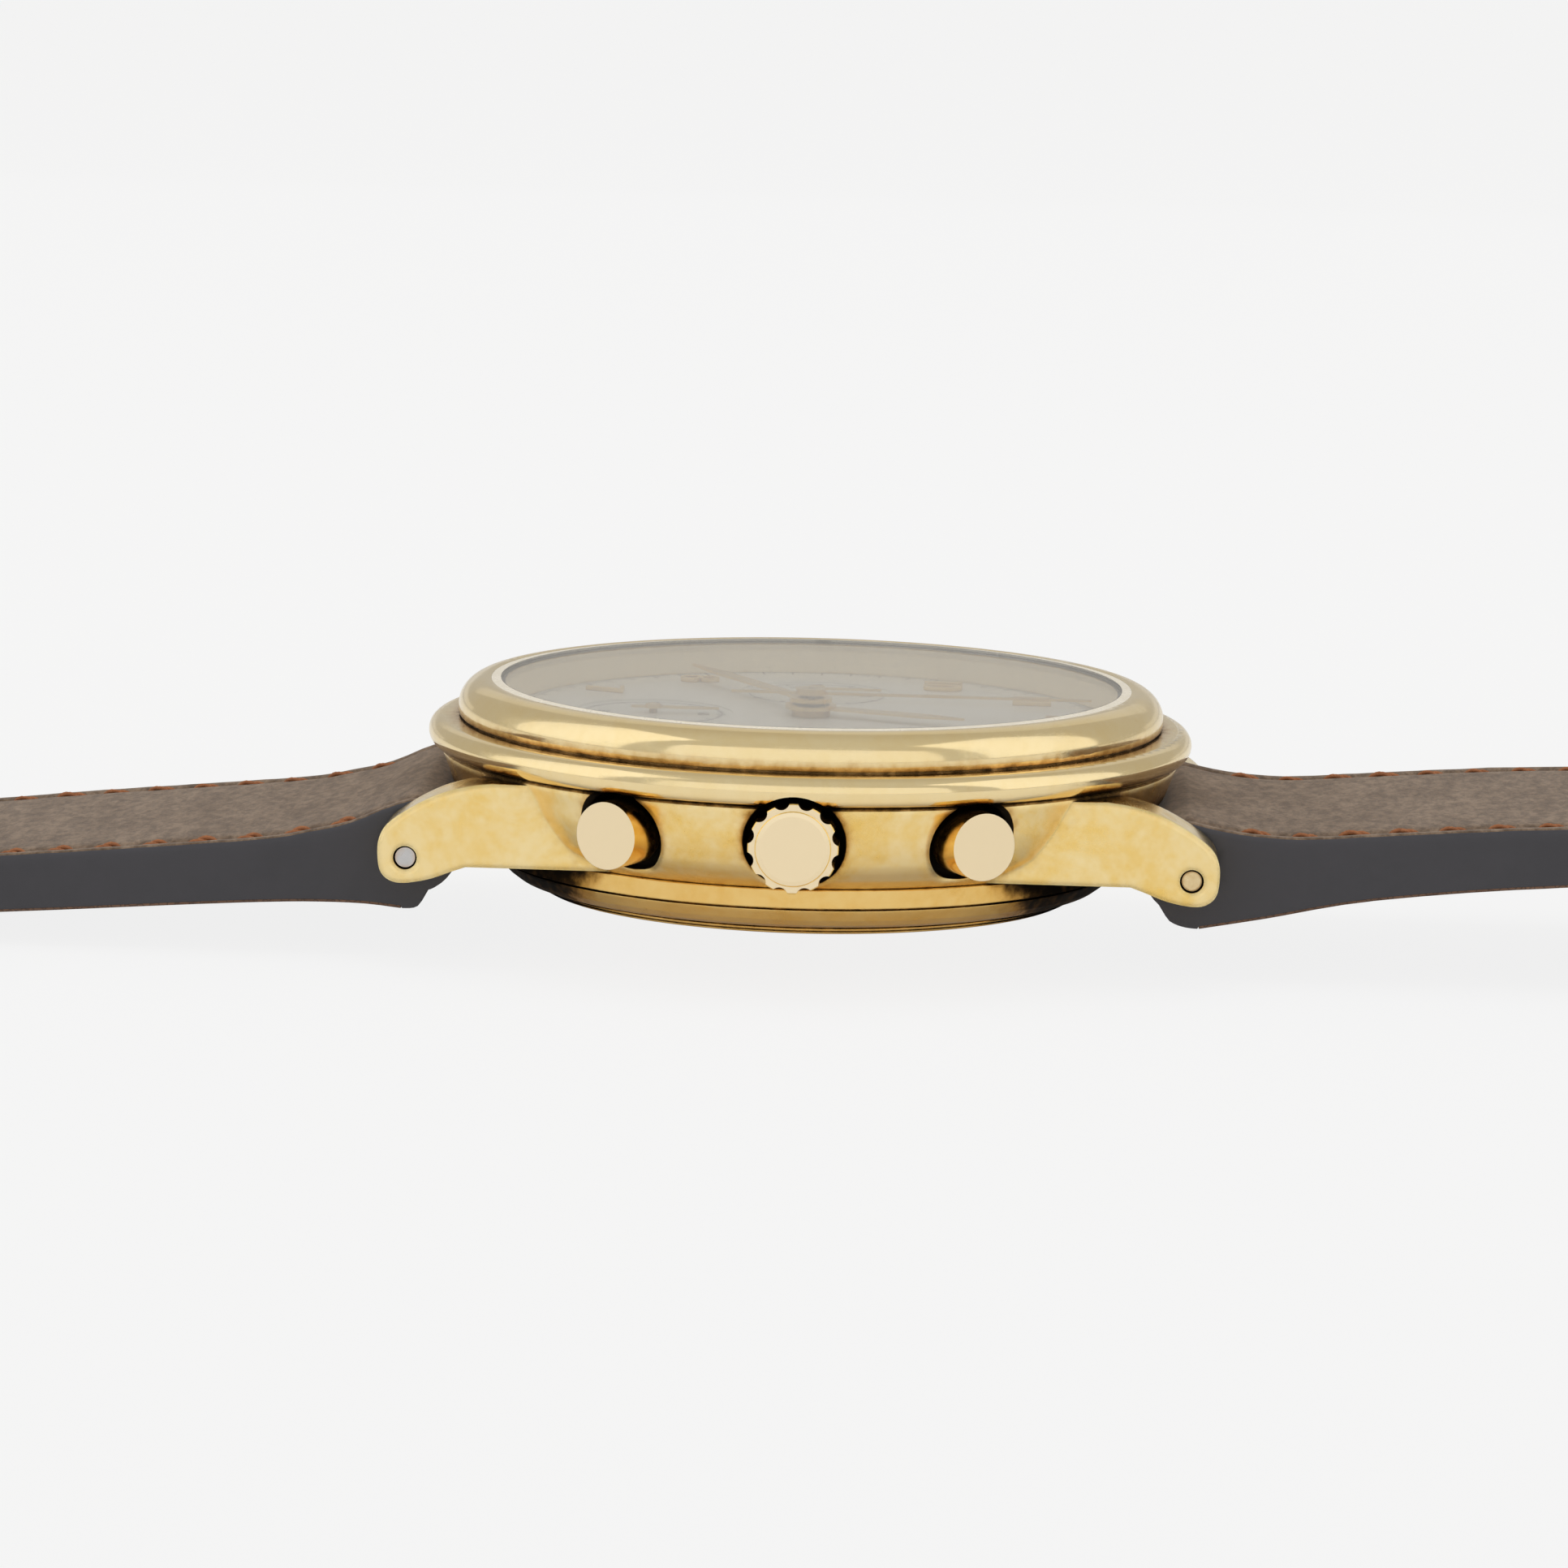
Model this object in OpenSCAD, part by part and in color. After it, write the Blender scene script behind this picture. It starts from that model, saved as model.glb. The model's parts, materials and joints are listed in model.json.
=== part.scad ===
// Chronograph wristwatch: case, self-winding chronograph movement, dial, hands, leather strap and pin buckle.
// +X points to 3 o'clock (the crown), +Y to 12 o'clock, +Z out of the dial.
// The origin is the centre of the case back's flat outer face. Units are millimetres.

/* [Case] */
// Largest radius of the case, on the lower ring of the bezel
case_r = 19.05; // [18.9:0.05:23]
// Width of the bezel, from the crystal to the edge of the case
bezel_w = 3.07; // [2.5:0.01:3.4]
// Thickness of the sapphire crystal
crystal_t = 1.5; // [1.2:0.05:1.8]
// Height of the sloping flange between the dial and the crystal
flange_h = 1.5; // [1.25:0.05:1.8]
// Distance between the lugs
lug_gap = 20; // [16:0.5:24]
// Width of one lug, across the strap
lug_w = 2.9; // [2.4:0.1:3.5]
// How far the spring bars lie inside the largest radius of the case
bar_inset = 0.12; // [0:0.02:0.2]
// Height of the spring bars above the case back
bar_z = 3.07; // [2.9:0.01:3.3]
// Radius of the holes drilled through the lugs
lug_hole_r = 0.575; // [0.5:0.005:0.7]

/* [Crown and pushers] */
// Radius over the crown's flutes
crown_r = 2.15; // [1.8:0.05:2.6]
// Number of flutes around the crown
crown_flutes = 12; // [8:1:24]
// How far the crown pulls out to set the hands
crown_travel = 0.9; // [0.5:0.1:1.2]
// Angle between each pusher and the crown
pusher_angle = 27.7; // [26:0.1:29]
// Radius of a pusher cap
pusher_r = 1.62; // [1.35:0.01:1.95]
// How far the pushers and the crown stand out beyond the bezel
knob_out = 0.25; // [0.1:0.05:0.6]
// How far a pusher travels when it is pressed
pusher_travel = 0.7; // [0.4:0.1:0.7]

/* [Dial] */
// Distance of the three small dials from the centre
subdial_d = 7.9; // [7.6:0.05:8.2]
// Radius of the small dials
subdial_r = 4.0; // [3.3:0.1:4.8]

/* [Strap] */
// Width of the strap at the buckle
buckle_w = 16; // [13:0.5:19.5]
// Length of the strap's buckle side, from its spring bar to the buckle's bar
reach_12 = 74; // [62:1:90]
// Length of the strap's long side, from its spring bar to its tip
reach_6 = 114; // [95:1:138]
// Thickness of the lining leather
lining_t = 0.7; // [0.5:0.05:0.9]
// Radius of the holes for the buckle's tongue
strap_hole_r = 0.95; // [0.8:0.05:1.1]
// Number of holes for the buckle's tongue
strap_holes = 7; // [5:1:8]
// Distance between two of those holes
hole_pitch = 6.5; // [5:0.5:7]

/* [Hidden] */
$fn = 96;

// Clearances
run = 0.05;          // radial play of an arbor in its hole
slip = 0.03;         // gap between pieces that are set into each other by hand
soft = 0.3;          // gap between leather and the metal that it moves past

// Case back: its outside from the flat face up, each point as its distance inside the rim and its height
back_steps = [[2.6, 0], [2.4, 0.04], [2.28, 0.1], [2.26, 0.14], [2.34, 0.17], [2.24, 0.21], [2.2, 0.26],
    [2.21, 0.31], [2.3, 0.35], [2.1, 0.4], [1.5, 0.52], [1.0, 0.7], [0.6, 1.0], [0.3, 1.4], [0.22, 1.54],
    [0.35, 1.6], [0.35, 1.66], [0, 1.7], [0, 2.55], [0.06, 2.62]];
back_r = case_r - 3.35;
back_top = 2.65;     // where the case back meets the case middle
spigot_r = back_r - 1.45;                     // the case back's collar inside the case middle
spigot_w = 0.75;
spigot_h = 1.0;
back_floor = 0.9;    // thickness of the case back's floor
gasket_w = 0.35;

// Case middle: its flaring side, as distance inside the case's largest radius and height
flare = [[3.38, back_top], [3.3, back_top + 0.05], [2.45, 3.4], [2.2, 3.6], [1.9, 3.95], [1.55, 4.6],
    [1.23, 5.3], [0.95, 6.1], [0.65, 6.85]];
middle_top = 7.0;
crystal_seat_r = case_r - bezel_w;
neck_r = crystal_seat_r + 0.72;               // collar that the bezel snaps over
neck_h = 0.9;
bore_r = crystal_seat_r - 0.23;               // room for the dial
ring_bore_r = bore_r - 0.75;                  // room for the movement and its ring
shoulder_z = 4.2;    // the movement ring stands on this
bar_y = case_r - bar_inset;
// Side view of a lug, from the spring bar: under it, round its tip, and back along its top
lug_outline = [[-2.93, -0.37], [-2.23, -0.62], [-1.13, -1.02], [0.07, -1.23], [0.77, -1.1], [1.2, -0.65],
    [1.33, 0.13], [1.27, 0.9], [0.87, 1.63], [-0.23, 2.43], [-1.58, 3.13], [-2.93, 3.53], [-4.13, 3.7]];
lug_root = 8.4;
relief_r = 2.6;      // hollow between the lugs for the strap's end
relief_low_r = 3.2;  // wider below, so that the strap can swing down

// Crown and pusher recesses
stem_z = 5.15;       // height of the crown and pusher axes
recess_floor = case_r - 3.05;
crown_recess_r = crown_r + 0.3;
pusher_recess_r = pusher_r + 0.4;
tube_r = 1.0;
tube_bore = 0.56;
tube_out = 1.7;      // how far the crown's tube stands out of the recess floor
stem_r = 0.5;
crown_back = recess_floor + 0.3;
crown_front = case_r + knob_out;
crown_bore_r = 1.3;
pusher_stem_r = 0.55;
pusher_tube_r = 0.95;
stem_in = 9.7;       // inner end of the winding stem
pusher_in = 12.3;    // inner end of a pusher's stem

// Dial side
plate_r = 14.0;
plate_z = [5.4, 6.85];
dial_z = [6.87, 7.3];
ledge_r = crystal_seat_r - 0.38;              // lip of the bezel that carries the crystal
dial_r = ledge_r;
flange_z = [dial_z[1] + 0.02, dial_z[1] + 0.02 + flange_h];
ledge_z = flange_z[1] + 0.03;
case_h = ledge_z + crystal_t;
hour_z = dial_z[1] + 0.25 * flange_h;
minute_z = dial_z[1] + 0.48 * flange_h;
chrono_z = dial_z[1] + 0.72 * flange_h;
small_z = dial_z[1] + 0.16;
hand_t = 0.12;
subdial_at = [[0, -subdial_d], [subdial_d, 0], [-subdial_d, 0]];   // seconds, minute counter, hour counter
feet_at = [[9.2, 9.7], [-9.2, -9.9]];

// Arbors of the centre, from the inside out
chrono_arbor_r = 0.15;
centre_bore_r = 0.2;
centre_arbor_r = 0.42;
cannon_r = 0.68;
hour_tube = [cannon_r + run, 0.96];
small_arbor_r = 0.2;

// Movement layers
bridge_z = [2.6, 3.15];
ratchet_z = [3.22, 3.57];
crown_wheel_z = [3.3, 3.9];
drum_z = [3.97, 4.93];
drum_teeth_z = [4.03, 4.33];
centre_wheel_z = [5.04, 5.22];
third_z = [4.2, 4.4];
fourth_z = [3.6, 3.8];
escape_z = [4.7, 4.88];
balance_z = [3.9, 4.25];
pivot_depth = 0.3;   // how far an arbor's end reaches into its jewel

// Train: teeth and modules
centre_n = 80;
third_pinion_n = 10;
centre_m = subdial_d / 79;
third_n = 75;
fourth_pinion_n = 10;
third_m = 0.9 * centre_m;
fourth_n = 80;
escape_pinion_n = 8;
fourth_m = 0.08;
barrel_n = 78;
centre_pinion_n = 12;
barrel_m = 0.12;
ratchet_n = 36;
crown_wheel_n = 30;
wind_pinion_n = 12;
wind_m = 0.2;
cannon_n = 12;
minute_n = 36;
minute_m = 0.13;
minute_pinion_n = 10;
hour_n = 40;
motion_d = (cannon_n + minute_n) * minute_m / 2;
hour_m = 2 * motion_d / (minute_pinion_n + hour_n);
escape_teeth = 15;
escape_r = 2.0;

// Places of the arbors
function polar(r, a) = [r * cos(a), r * sin(a)];
third_d1 = (centre_n + third_pinion_n) * centre_m / 2;
third_d2 = (third_n + fourth_pinion_n) * third_m / 2;
third_y = -(pow(third_d1, 2) - pow(third_d2, 2) + pow(subdial_d, 2)) / (2 * subdial_d);
third_at = [sqrt(pow(third_d1, 2) - pow(third_y, 2)), third_y];
fourth_at = subdial_at[0];
escape_at = fourth_at + polar((fourth_n + escape_pinion_n) * fourth_m / 2, 205);
balance_at = escape_at + [-5.1, 3.8];
crown_wheel_x = 8.1;
barrel_d = (barrel_n + centre_pinion_n) * barrel_m / 2;
wind_d = (ratchet_n + crown_wheel_n) * wind_m / 2;
barrel_a = acos((pow(barrel_d, 2) + pow(crown_wheel_x, 2) - pow(wind_d, 2)) / (2 * barrel_d * crown_wheel_x));
barrel_at = polar(barrel_d, barrel_a);
minute_at = polar(motion_d, 118);
column_at = [9.1, 4.7];
fork_dir = atan2(balance_at[1] - escape_at[1], balance_at[0] - escape_at[0]);
fork_at = escape_at + polar(escape_r + 0.75, fork_dir);
pillar_r = 0.9;
pillars_at = [polar(12.2, 75), polar(12.2, 160), polar(12.2, 280)];
lever_pivot = polar(12.7, 57.7);
lever_end_r = 0.3;
lever_tip = polar(pusher_in - 0.1 - lever_end_r, pusher_angle);

// Strap: outlines from its spring bar, as distance along the strap and height
bar_height = 5.37;   // of the spring bars above the surface that the strap lies on
floor_z = bar_z - bar_height;
strap_side = 0.2;    // gap between the strap and each lug
strap_w = lug_gap - 2 * strap_side;
loop_r = 0.85;       // the strap's tunnel for the spring bar
bar_r = 0.75;
near = 20;           // beyond this distance the strap's outline stretches with its length
function stretch(p, k) = [for (q = p) [q[0] <= near ? q[0] : near + (q[0] - near) * k, q[1]]];
under_12 = stretch([[0.47, -2.89], [3.77, -2.27], [9.07, -1.22], [18.07, -0.32], [29, 0.03], [39, -0.47],
    [49, -1.57], [59, -2.97], [67, -4.07], [71.5, -4.65]], (reach_12 - near) / (74 - near));
over_12 = stretch([[71.9, -2.1], [67, -1.2], [59, 0.1], [49, 1.45], [39, 2.45], [29, 2.95], [18.07, 2.65],
    [9.07, 2.03], [5.07, 1.75], [2.07, 1.95], [-0.03, 2.38]], (reach_12 - near) / (74 - near));
under_6 = stretch([[0.47, -3.07], [3.07, -2.87], [8.07, -3.02], [20.07, -3.9], [31, -4.82], [43, -bar_height],
    [61, -bar_height], [101, -bar_height]], (reach_6 - near) / (114 - near));
over_6 = stretch([[101, -3.07], [61, -2.97], [43, -2.77], [31, -2.07], [20.07, -1.0], [8.07, 0.15],
    [5.07, 0.67], [3.07, 1.15], [1.3, 1.95], [-0.03, 2.38]], (reach_6 - near) / (114 - near));
buckle_y = bar_y + reach_12;
buckle_z = floor_z + 1.6;
pin_r = 0.6;         // the buckle's bar
frame_side = 1.8;
frame_reach = 11;
first_hole = reach_6 - 65;
tongue_w = 1.9;
keeper_wall = 0.9;
keeper_l = 4.2;
keeper_room = 5.3;   // inner height of a keeper, for two layers of strap
fixed_keeper_at = reach_12 - 9.6;
free_keeper_at = reach_12 - 20.6;

// ---------- helpers ----------
function arc(c, r, a0, a1, n) = [for (i = [0 : n]) c + polar(r, a0 + (a1 - a0) * i / n)];
function spline_point(p, i, t) =
    let (a = p[max(i - 1, 0)], b = p[i], c = p[i + 1], d = p[min(i + 2, len(p) - 1)])
    0.5 * (2 * b + (c - a) * t + (2 * a - 5 * b + 4 * c - d) * t * t + (3 * b - a - 3 * c + d) * t * t * t);
// A smooth curve through the points, with n steps between each pair
function smooth(p, n = 4) =
    concat([for (i = [0 : len(p) - 2], k = [0 : n - 1]) spline_point(p, i, k / n)], [p[len(p) - 1]]);
// The turn that puts gear b in mesh with gear a, which lies in the direction from_a
function mesh(a_n, a_turn, b_n, from_a) =
    let (pitch = 360 / a_n, off = (from_a - a_turn) - pitch * floor((from_a - a_turn) / pitch))
    from_a + 180 + off * a_n / b_n + 180 / b_n;
function pitch_r(n, m) = n * m / 2;
function tip_r(n, m) = n * m / 2 + 0.85 * m;
function from_bar(p, lift = 0) = [for (q = p) [bar_y + q[0], bar_z + q[1] + lift]];
function back_to_front(p) = [for (i = [len(p) - 1 : -1 : 0]) p[i]];

module ring(r_out, r_in, h) {
    difference() {
        cylinder(r = r_out, h = h);
        translate([0, 0, -1]) cylinder(r = r_in, h = h + 2);
    }
}
module at(p, z = 0) { translate([p[0], p[1], z]) children(); }
module along_x() { rotate([0, 90, 0]) children(); }
module outline_x(w) { rotate([90, 0, 90]) linear_extrude(height = w, center = true) children(); }

module teeth2d(n, m) {
    p = 360 / n;
    root = pitch_r(n, m) - 1.2 * m;
    polygon([for (i = [0 : n - 1]) each [
        polar(root, p * (i - 0.27)), polar(tip_r(n, m), p * (i - 0.1)),
        polar(tip_r(n, m), p * (i + 0.1)), polar(root, p * (i + 0.27))]]);
}
module gear(n, m, z, turn = 0, bore = 0) {
    translate([0, 0, z[0]]) difference() {
        rotate(turn) linear_extrude(height = z[1] - z[0]) teeth2d(n, m);
        if (bore > 0) translate([0, 0, -1]) cylinder(r = bore, h = 5);
    }
}
// A wheel with a rim, crossed arms and a hub
module crossed_wheel(n, m, z, turn, hub, arms = 5) {
    rim = pitch_r(n, m) - 3.2 * m;
    difference() {
        gear(n, m, z, turn);
        translate([0, 0, z[0] - 1]) difference() {
            cylinder(r = rim, h = 3);
            translate([0, 0, -1]) cylinder(r = hub, h = 5);
            for (i = [0 : arms - 1]) rotate(turn + i * 360 / arms)
                translate([0, -0.14, -1]) cube([rim + 1, 0.28, 5]);
        }
    }
}
module arbor(r, z) { translate([0, 0, z[0]]) cylinder(r = r, h = z[1] - z[0]); }

// ---------- case ----------
module lug_profile() {
    top = lug_outline[len(lug_outline) - 1];
    polygon(concat([[lug_root, bar_z + lug_outline[0][1]]], from_bar(smooth(lug_outline)),
        [[lug_root, bar_z + top[1]]]));
}
module case_bore_profile() {
    gasket_r = spigot_r + gasket_w + slip;
    ring_top = dial_z[0] - 0.02;
    polygon([[0, back_top - 1], [gasket_r, back_top - 1], [gasket_r, back_top + gasket_w],
        [spigot_r + slip, back_top + gasket_w], [spigot_r + slip, shoulder_z], [ring_bore_r, shoulder_z],
        [ring_bore_r, ring_top], [bore_r, ring_top], [bore_r, 12], [0, 12]]);
}
module crown_recess() {
    translate([recess_floor, 0, stem_z]) along_x() cylinder(r = crown_recess_r, h = 8);
}
module pusher_recess(side) {
    rotate(side * pusher_angle) translate([recess_floor, 0, stem_z]) along_x()
        cylinder(r = pusher_recess_r, h = 8);
}
module stem_holes(crown_hole, pusher_hole, from) {
    translate([from, 0, stem_z]) along_x() cylinder(r = crown_hole, h = 14);
    for (side = [-1, 1]) rotate(side * pusher_angle)
        translate([from, 0, stem_z]) along_x() cylinder(r = pusher_hole, h = 14);
}
module case_middle() {
    color("goldenrod") difference() {
        union() {
            rotate_extrude() polygon(concat([[0, back_top]], [for (f = flare) [case_r - f[0], f[1]]],
                [[case_r - 0.8, middle_top], [neck_r, middle_top], [neck_r, middle_top + neck_h],
                 [0, middle_top + neck_h]]));
            for (sx = [-1, 1], sy = [0, 1]) rotate(180 * sy)
                translate([sx * (lug_gap + lug_w) / 2, 0, 0]) outline_x(lug_w) lug_profile();
        }
        rotate_extrude() case_bore_profile();
        crown_recess();
        pusher_recess(1);
        pusher_recess(-1);
        stem_holes(tube_r, pusher_tube_r, 13);
        for (end = [0, 1]) rotate(180 * end) translate([0, bar_y, bar_z]) {
            along_x() cylinder(r = relief_r, h = lug_gap, center = true);
            intersection() {
                along_x() cylinder(r = relief_low_r, h = lug_gap, center = true);
                translate([-15, -5, -6]) cube([30, 10, 6.8]);
            }
            along_x() cylinder(r = lug_hole_r, h = 40, center = true);
        }
    }
}
module bezel() {
    low_r = 0.72;                                 // section radius of the lower ring
    low = [case_r - low_r, 7.75];
    high_r = 1.38;                                // section radius of the upper ring
    high = [crystal_seat_r + 1.62 - high_r, case_h - high_r];
    split_z = low[1] + low_r + 0.13;              // the upper ring stands on a ledge behind the lower one
    foot = high[0] + high_r - 0.14;               // fine groove under the upper ring
    color("gold") difference() {
        rotate_extrude() difference() {
            union() {
                translate(low) circle(r = low_r);
                intersection() {
                    translate(high) circle(r = high_r);
                    translate([ledge_r, split_z]) square([high_r * 3, high_r * 3]);
                }
                polygon([[ledge_r, middle_top + neck_h], [ledge_r, middle_top + 0.03],
                    [low[0], middle_top + 0.03], [low[0], split_z - 0.13], [foot, split_z - 0.1],
                    [foot, split_z + 0.02], high, [high[0], case_h - 0.01], [ledge_r, case_h - 0.03]]);
            }
            polygon([[0, ledge_z], [crystal_seat_r, ledge_z], [crystal_seat_r, 15], [0, 15]]);
            polygon([[0, 0], [neck_r + slip, 0], [neck_r + slip, middle_top + neck_h + slip],
                [ledge_r, middle_top + neck_h + slip], [ledge_r, ledge_z + 1], [0, ledge_z + 1]]);
        }
        crown_recess();
        pusher_recess(1);
        pusher_recess(-1);
    }
}
gasket_t = 0.26;
crystal_r = crystal_seat_r - gasket_t - 0.02;
module crystal() {
    color("lightcyan", 0.4) rotate_extrude()
        polygon([[0, ledge_z], [crystal_r, ledge_z], [crystal_r, case_h - 0.15], [crystal_r - 0.2, case_h + 0.03],
            [0, case_h + 0.03]]);
}
module crystal_gasket() {
    color("dimgray") translate([0, 0, ledge_z]) ring(crystal_seat_r, crystal_r, crystal_t - 0.25);
}
module flange_ring() {
    inner_low = ledge_r - 0.6;
    inner_high = ledge_r - 0.3;
    color("wheat") rotate_extrude()
        polygon([[inner_low, flange_z[0]], [ledge_r - slip, flange_z[0]], [ledge_r - slip, flange_z[1]],
            [inner_high, flange_z[1]]]);
}
module case_back() {
    color("goldenrod") rotate_extrude() polygon(concat([[0, 0]], [for (b = back_steps) [back_r - b[0], b[1]]],
        [[spigot_r, back_top - 0.03], [spigot_r, back_top], [spigot_r, back_top + spigot_h],
         [spigot_r - spigot_w, back_top + spigot_h], [spigot_r - spigot_w, back_floor], [0, back_floor]]));
}
module case_back_gasket() {
    color("dimgray") translate([0, 0, back_top]) ring(spigot_r + gasket_w, spigot_r + 0.02, gasket_w - 0.02);
}

// ---------- crown and pushers ----------
module case_tubes() {
    tube_in = ring_bore_r + 0.05;
    color("gold") {
        translate([tube_in, 0, stem_z]) along_x() ring(tube_r, tube_bore, recess_floor + tube_out - tube_in);
        for (side = [-1, 1]) rotate(side * pusher_angle) translate([tube_in, 0, stem_z]) along_x()
            ring(pusher_tube_r, pusher_stem_r + 0.04, spring_seat - 0.02 - tube_in);
    }
}
module crown() {
    flute_pitch = 2 * PI * crown_r / crown_flutes;
    flute_r = 0.36 * flute_pitch;
    rim_front = crown_front - 0.1;               // flat rim that the flutes run out into
    disc_r = 0.84 * crown_r;                     // raised disc inside the rim
    edge = 0.05;
    color("gold") translate([0, 0, stem_z]) along_x() difference() {
        union() {
            translate([0, 0, crown_back]) cylinder(r = crown_r, h = rim_front - edge - crown_back);
            translate([0, 0, rim_front - edge]) cylinder(r1 = crown_r, r2 = crown_r - edge, h = edge);
            translate([0, 0, rim_front]) cylinder(r1 = disc_r, r2 = disc_r - edge, h = edge);
            translate([0, 0, rim_front + edge])
                cylinder(r1 = disc_r - edge, r2 = disc_r - 5 * edge, h = crown_front - rim_front - edge);
        }
        translate([0, 0, crown_back - 1]) cylinder(r = crown_bore_r, h = 1 + crown_front - crown_back - 1.0);
        for (i = [0 : crown_flutes - 1]) rotate((i + 0.5) * 360 / crown_flutes)
            translate([crown_r + 0.43 * flute_r, 0, crown_back - 1]) cylinder(r = flute_r, h = 6);
    }
}
module winding_stem() {
    color("silver") translate([0, 0, stem_z]) along_x() {
        translate([0, 0, stem_in]) cylinder(r = 0.4, h = 2);
        translate([0, 0, stem_in + 2]) cylinder(r = stem_r, h = crown_front - 1.0 - stem_in - 2);
    }
}
module crown_gasket() {
    color("dimgray") translate([crown_back + 0.05, 0, stem_z]) along_x()
        ring(crown_bore_r - 0.02, tube_r + 0.02, 0.4);
}
spring_seat = recess_floor + 0.4;
pusher_reach = case_r + knob_out;
pusher_head = pusher_reach - 1.0;       // where the cap's solid end begins
module pusher(side) {
    color("gold") rotate(side * pusher_angle) translate([0, 0, stem_z]) along_x() {
        difference() {
            translate([0, 0, recess_floor + pusher_travel + 0.2])
                cylinder(r = pusher_r, h = pusher_reach - recess_floor - pusher_travel - 0.2);
            translate([0, 0, recess_floor]) cylinder(r = pusher_r - 0.3, h = pusher_head - recess_floor);
        }
        translate([0, 0, pusher_in]) cylinder(r = pusher_stem_r, h = pusher_head - pusher_in + 0.1);
    }
}
module start_pusher() { pusher(1); }
module reset_pusher() { pusher(-1); }
// A coil spring around a pusher's stem, between the tube and the cap
module pusher_spring(side) {
    wire = 0.13;
    coil_r = 0.85;
    turns = 4;
    steps = 14;
    sides = 6;
    length = pusher_head - spring_seat - 2 * wire;
    rings = [for (k = [0 : turns * steps]) [for (j = [0 : sides - 1])
        let (a = 360 * k / steps, b = 360 * j / sides, r = coil_r + wire * cos(b))
        [r * cos(a), r * sin(a), spring_seat + wire + length * k / (turns * steps) + wire * sin(b)]]];
    last = len(rings) - 1;
    color("silver") rotate(side * pusher_angle) translate([0, 0, stem_z]) along_x()
        polyhedron(points = [for (r = rings) each r],
            faces = concat([[for (j = [0 : sides - 1]) j]],
                [for (k = [0 : last - 1], j = [0 : sides - 1]) [k * sides + j, (k + 1) * sides + j,
                    (k + 1) * sides + (j + 1) % sides, k * sides + (j + 1) % sides]],
                [[for (j = [sides - 1 : -1 : 0]) last * sides + j]]));
}
module start_pusher_spring() { pusher_spring(1); }
module reset_pusher_spring() { pusher_spring(-1); }

// ---------- dial side ----------
module movement_ring() {
    color("tan") difference() {
        translate([0, 0, shoulder_z]) ring(ring_bore_r - slip, plate_r + slip, plate_z[1] - shoulder_z);
        stem_holes(stem_r + 0.3, pusher_stem_r + 0.25, 13);
    }
}
module dial() {
    color("ivory") difference() {
        union() {
            translate([0, 0, dial_z[0]]) cylinder(r = dial_r, h = dial_z[1] - dial_z[0]);
            for (p = feet_at) at(p, dial_z[0] - 0.9) cylinder(r = 0.35, h = 1);
        }
        translate([0, 0, dial_z[0] - 1]) cylinder(r = hour_tube[1] + run, h = 3);
        for (p = subdial_at) {
            at(p, dial_z[0] - 1) cylinder(r = small_arbor_r + run, h = 3);
            at(p, dial_z[1] - 0.08) cylinder(r = subdial_r, h = 1);
        }
    }
}
module hour_markers() {
    color("gold") for (h = [1, 2, 4, 5, 7, 8, 10, 11, 12]) rotate(90 - 30 * h)
        translate([dial_r - 3.8, -0.35, dial_z[1]]) cube([2.3, 0.7, 0.22]);
}
module hand(length, tail, w, z, hub_r, hole_r, hub_h) {
    difference() {
        union() {
            translate([0, 0, z]) cylinder(r = hub_r, h = hub_h);
            translate([0, 0, z]) linear_extrude(height = hand_t)
                polygon([[-tail, -w * 0.35], [0, -w / 2], [length * 0.75, -w / 2], [length, -0.05],
                    [length, 0.05], [length * 0.75, w / 2], [0, w / 2], [-tail, w * 0.35]]);
        }
        translate([0, 0, z - 1]) cylinder(r = hole_r, h = 4);
    }
}
hour_turn = 90 - 20;      // 12:40
minute_turn = 90 - 240;
module hour_hand() { color("gold") rotate(hour_turn) hand(8.2, 0, 0.9, hour_z, 1.3, hour_tube[1], 0.2); }
module minute_hand() {
    color("gold") rotate(minute_turn) hand(dial_r - 2.4, 0, 0.75, minute_z, 1.05, cannon_r, 0.2);
}
module chrono_hand() {
    color("gold") rotate(90) hand(dial_r - 1.6, 4.0, 0.3, chrono_z, 0.75, chrono_arbor_r, 0.3);
}
module small_hand(place) {
    color("gold") at(place) rotate(90) {
        hand(3.3, 1.1, 0.3, small_z, 0.4, small_arbor_r, 0.2);
        children();
    }
}
module small_seconds_hand() { small_hand(subdial_at[0]); }
module minute_counter_hand() { small_hand(subdial_at[1]) counter_wheel(); }
module hour_counter_hand() { small_hand(subdial_at[2]) counter_wheel(); }
counter_n = 30; counter_m = 0.1; counter_z = [6.2, 6.35];
module counter_wheel() {
    gear(counter_n, counter_m, counter_z);
    arbor(small_arbor_r, [5.8, small_z + 0.2]);
}

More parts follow.
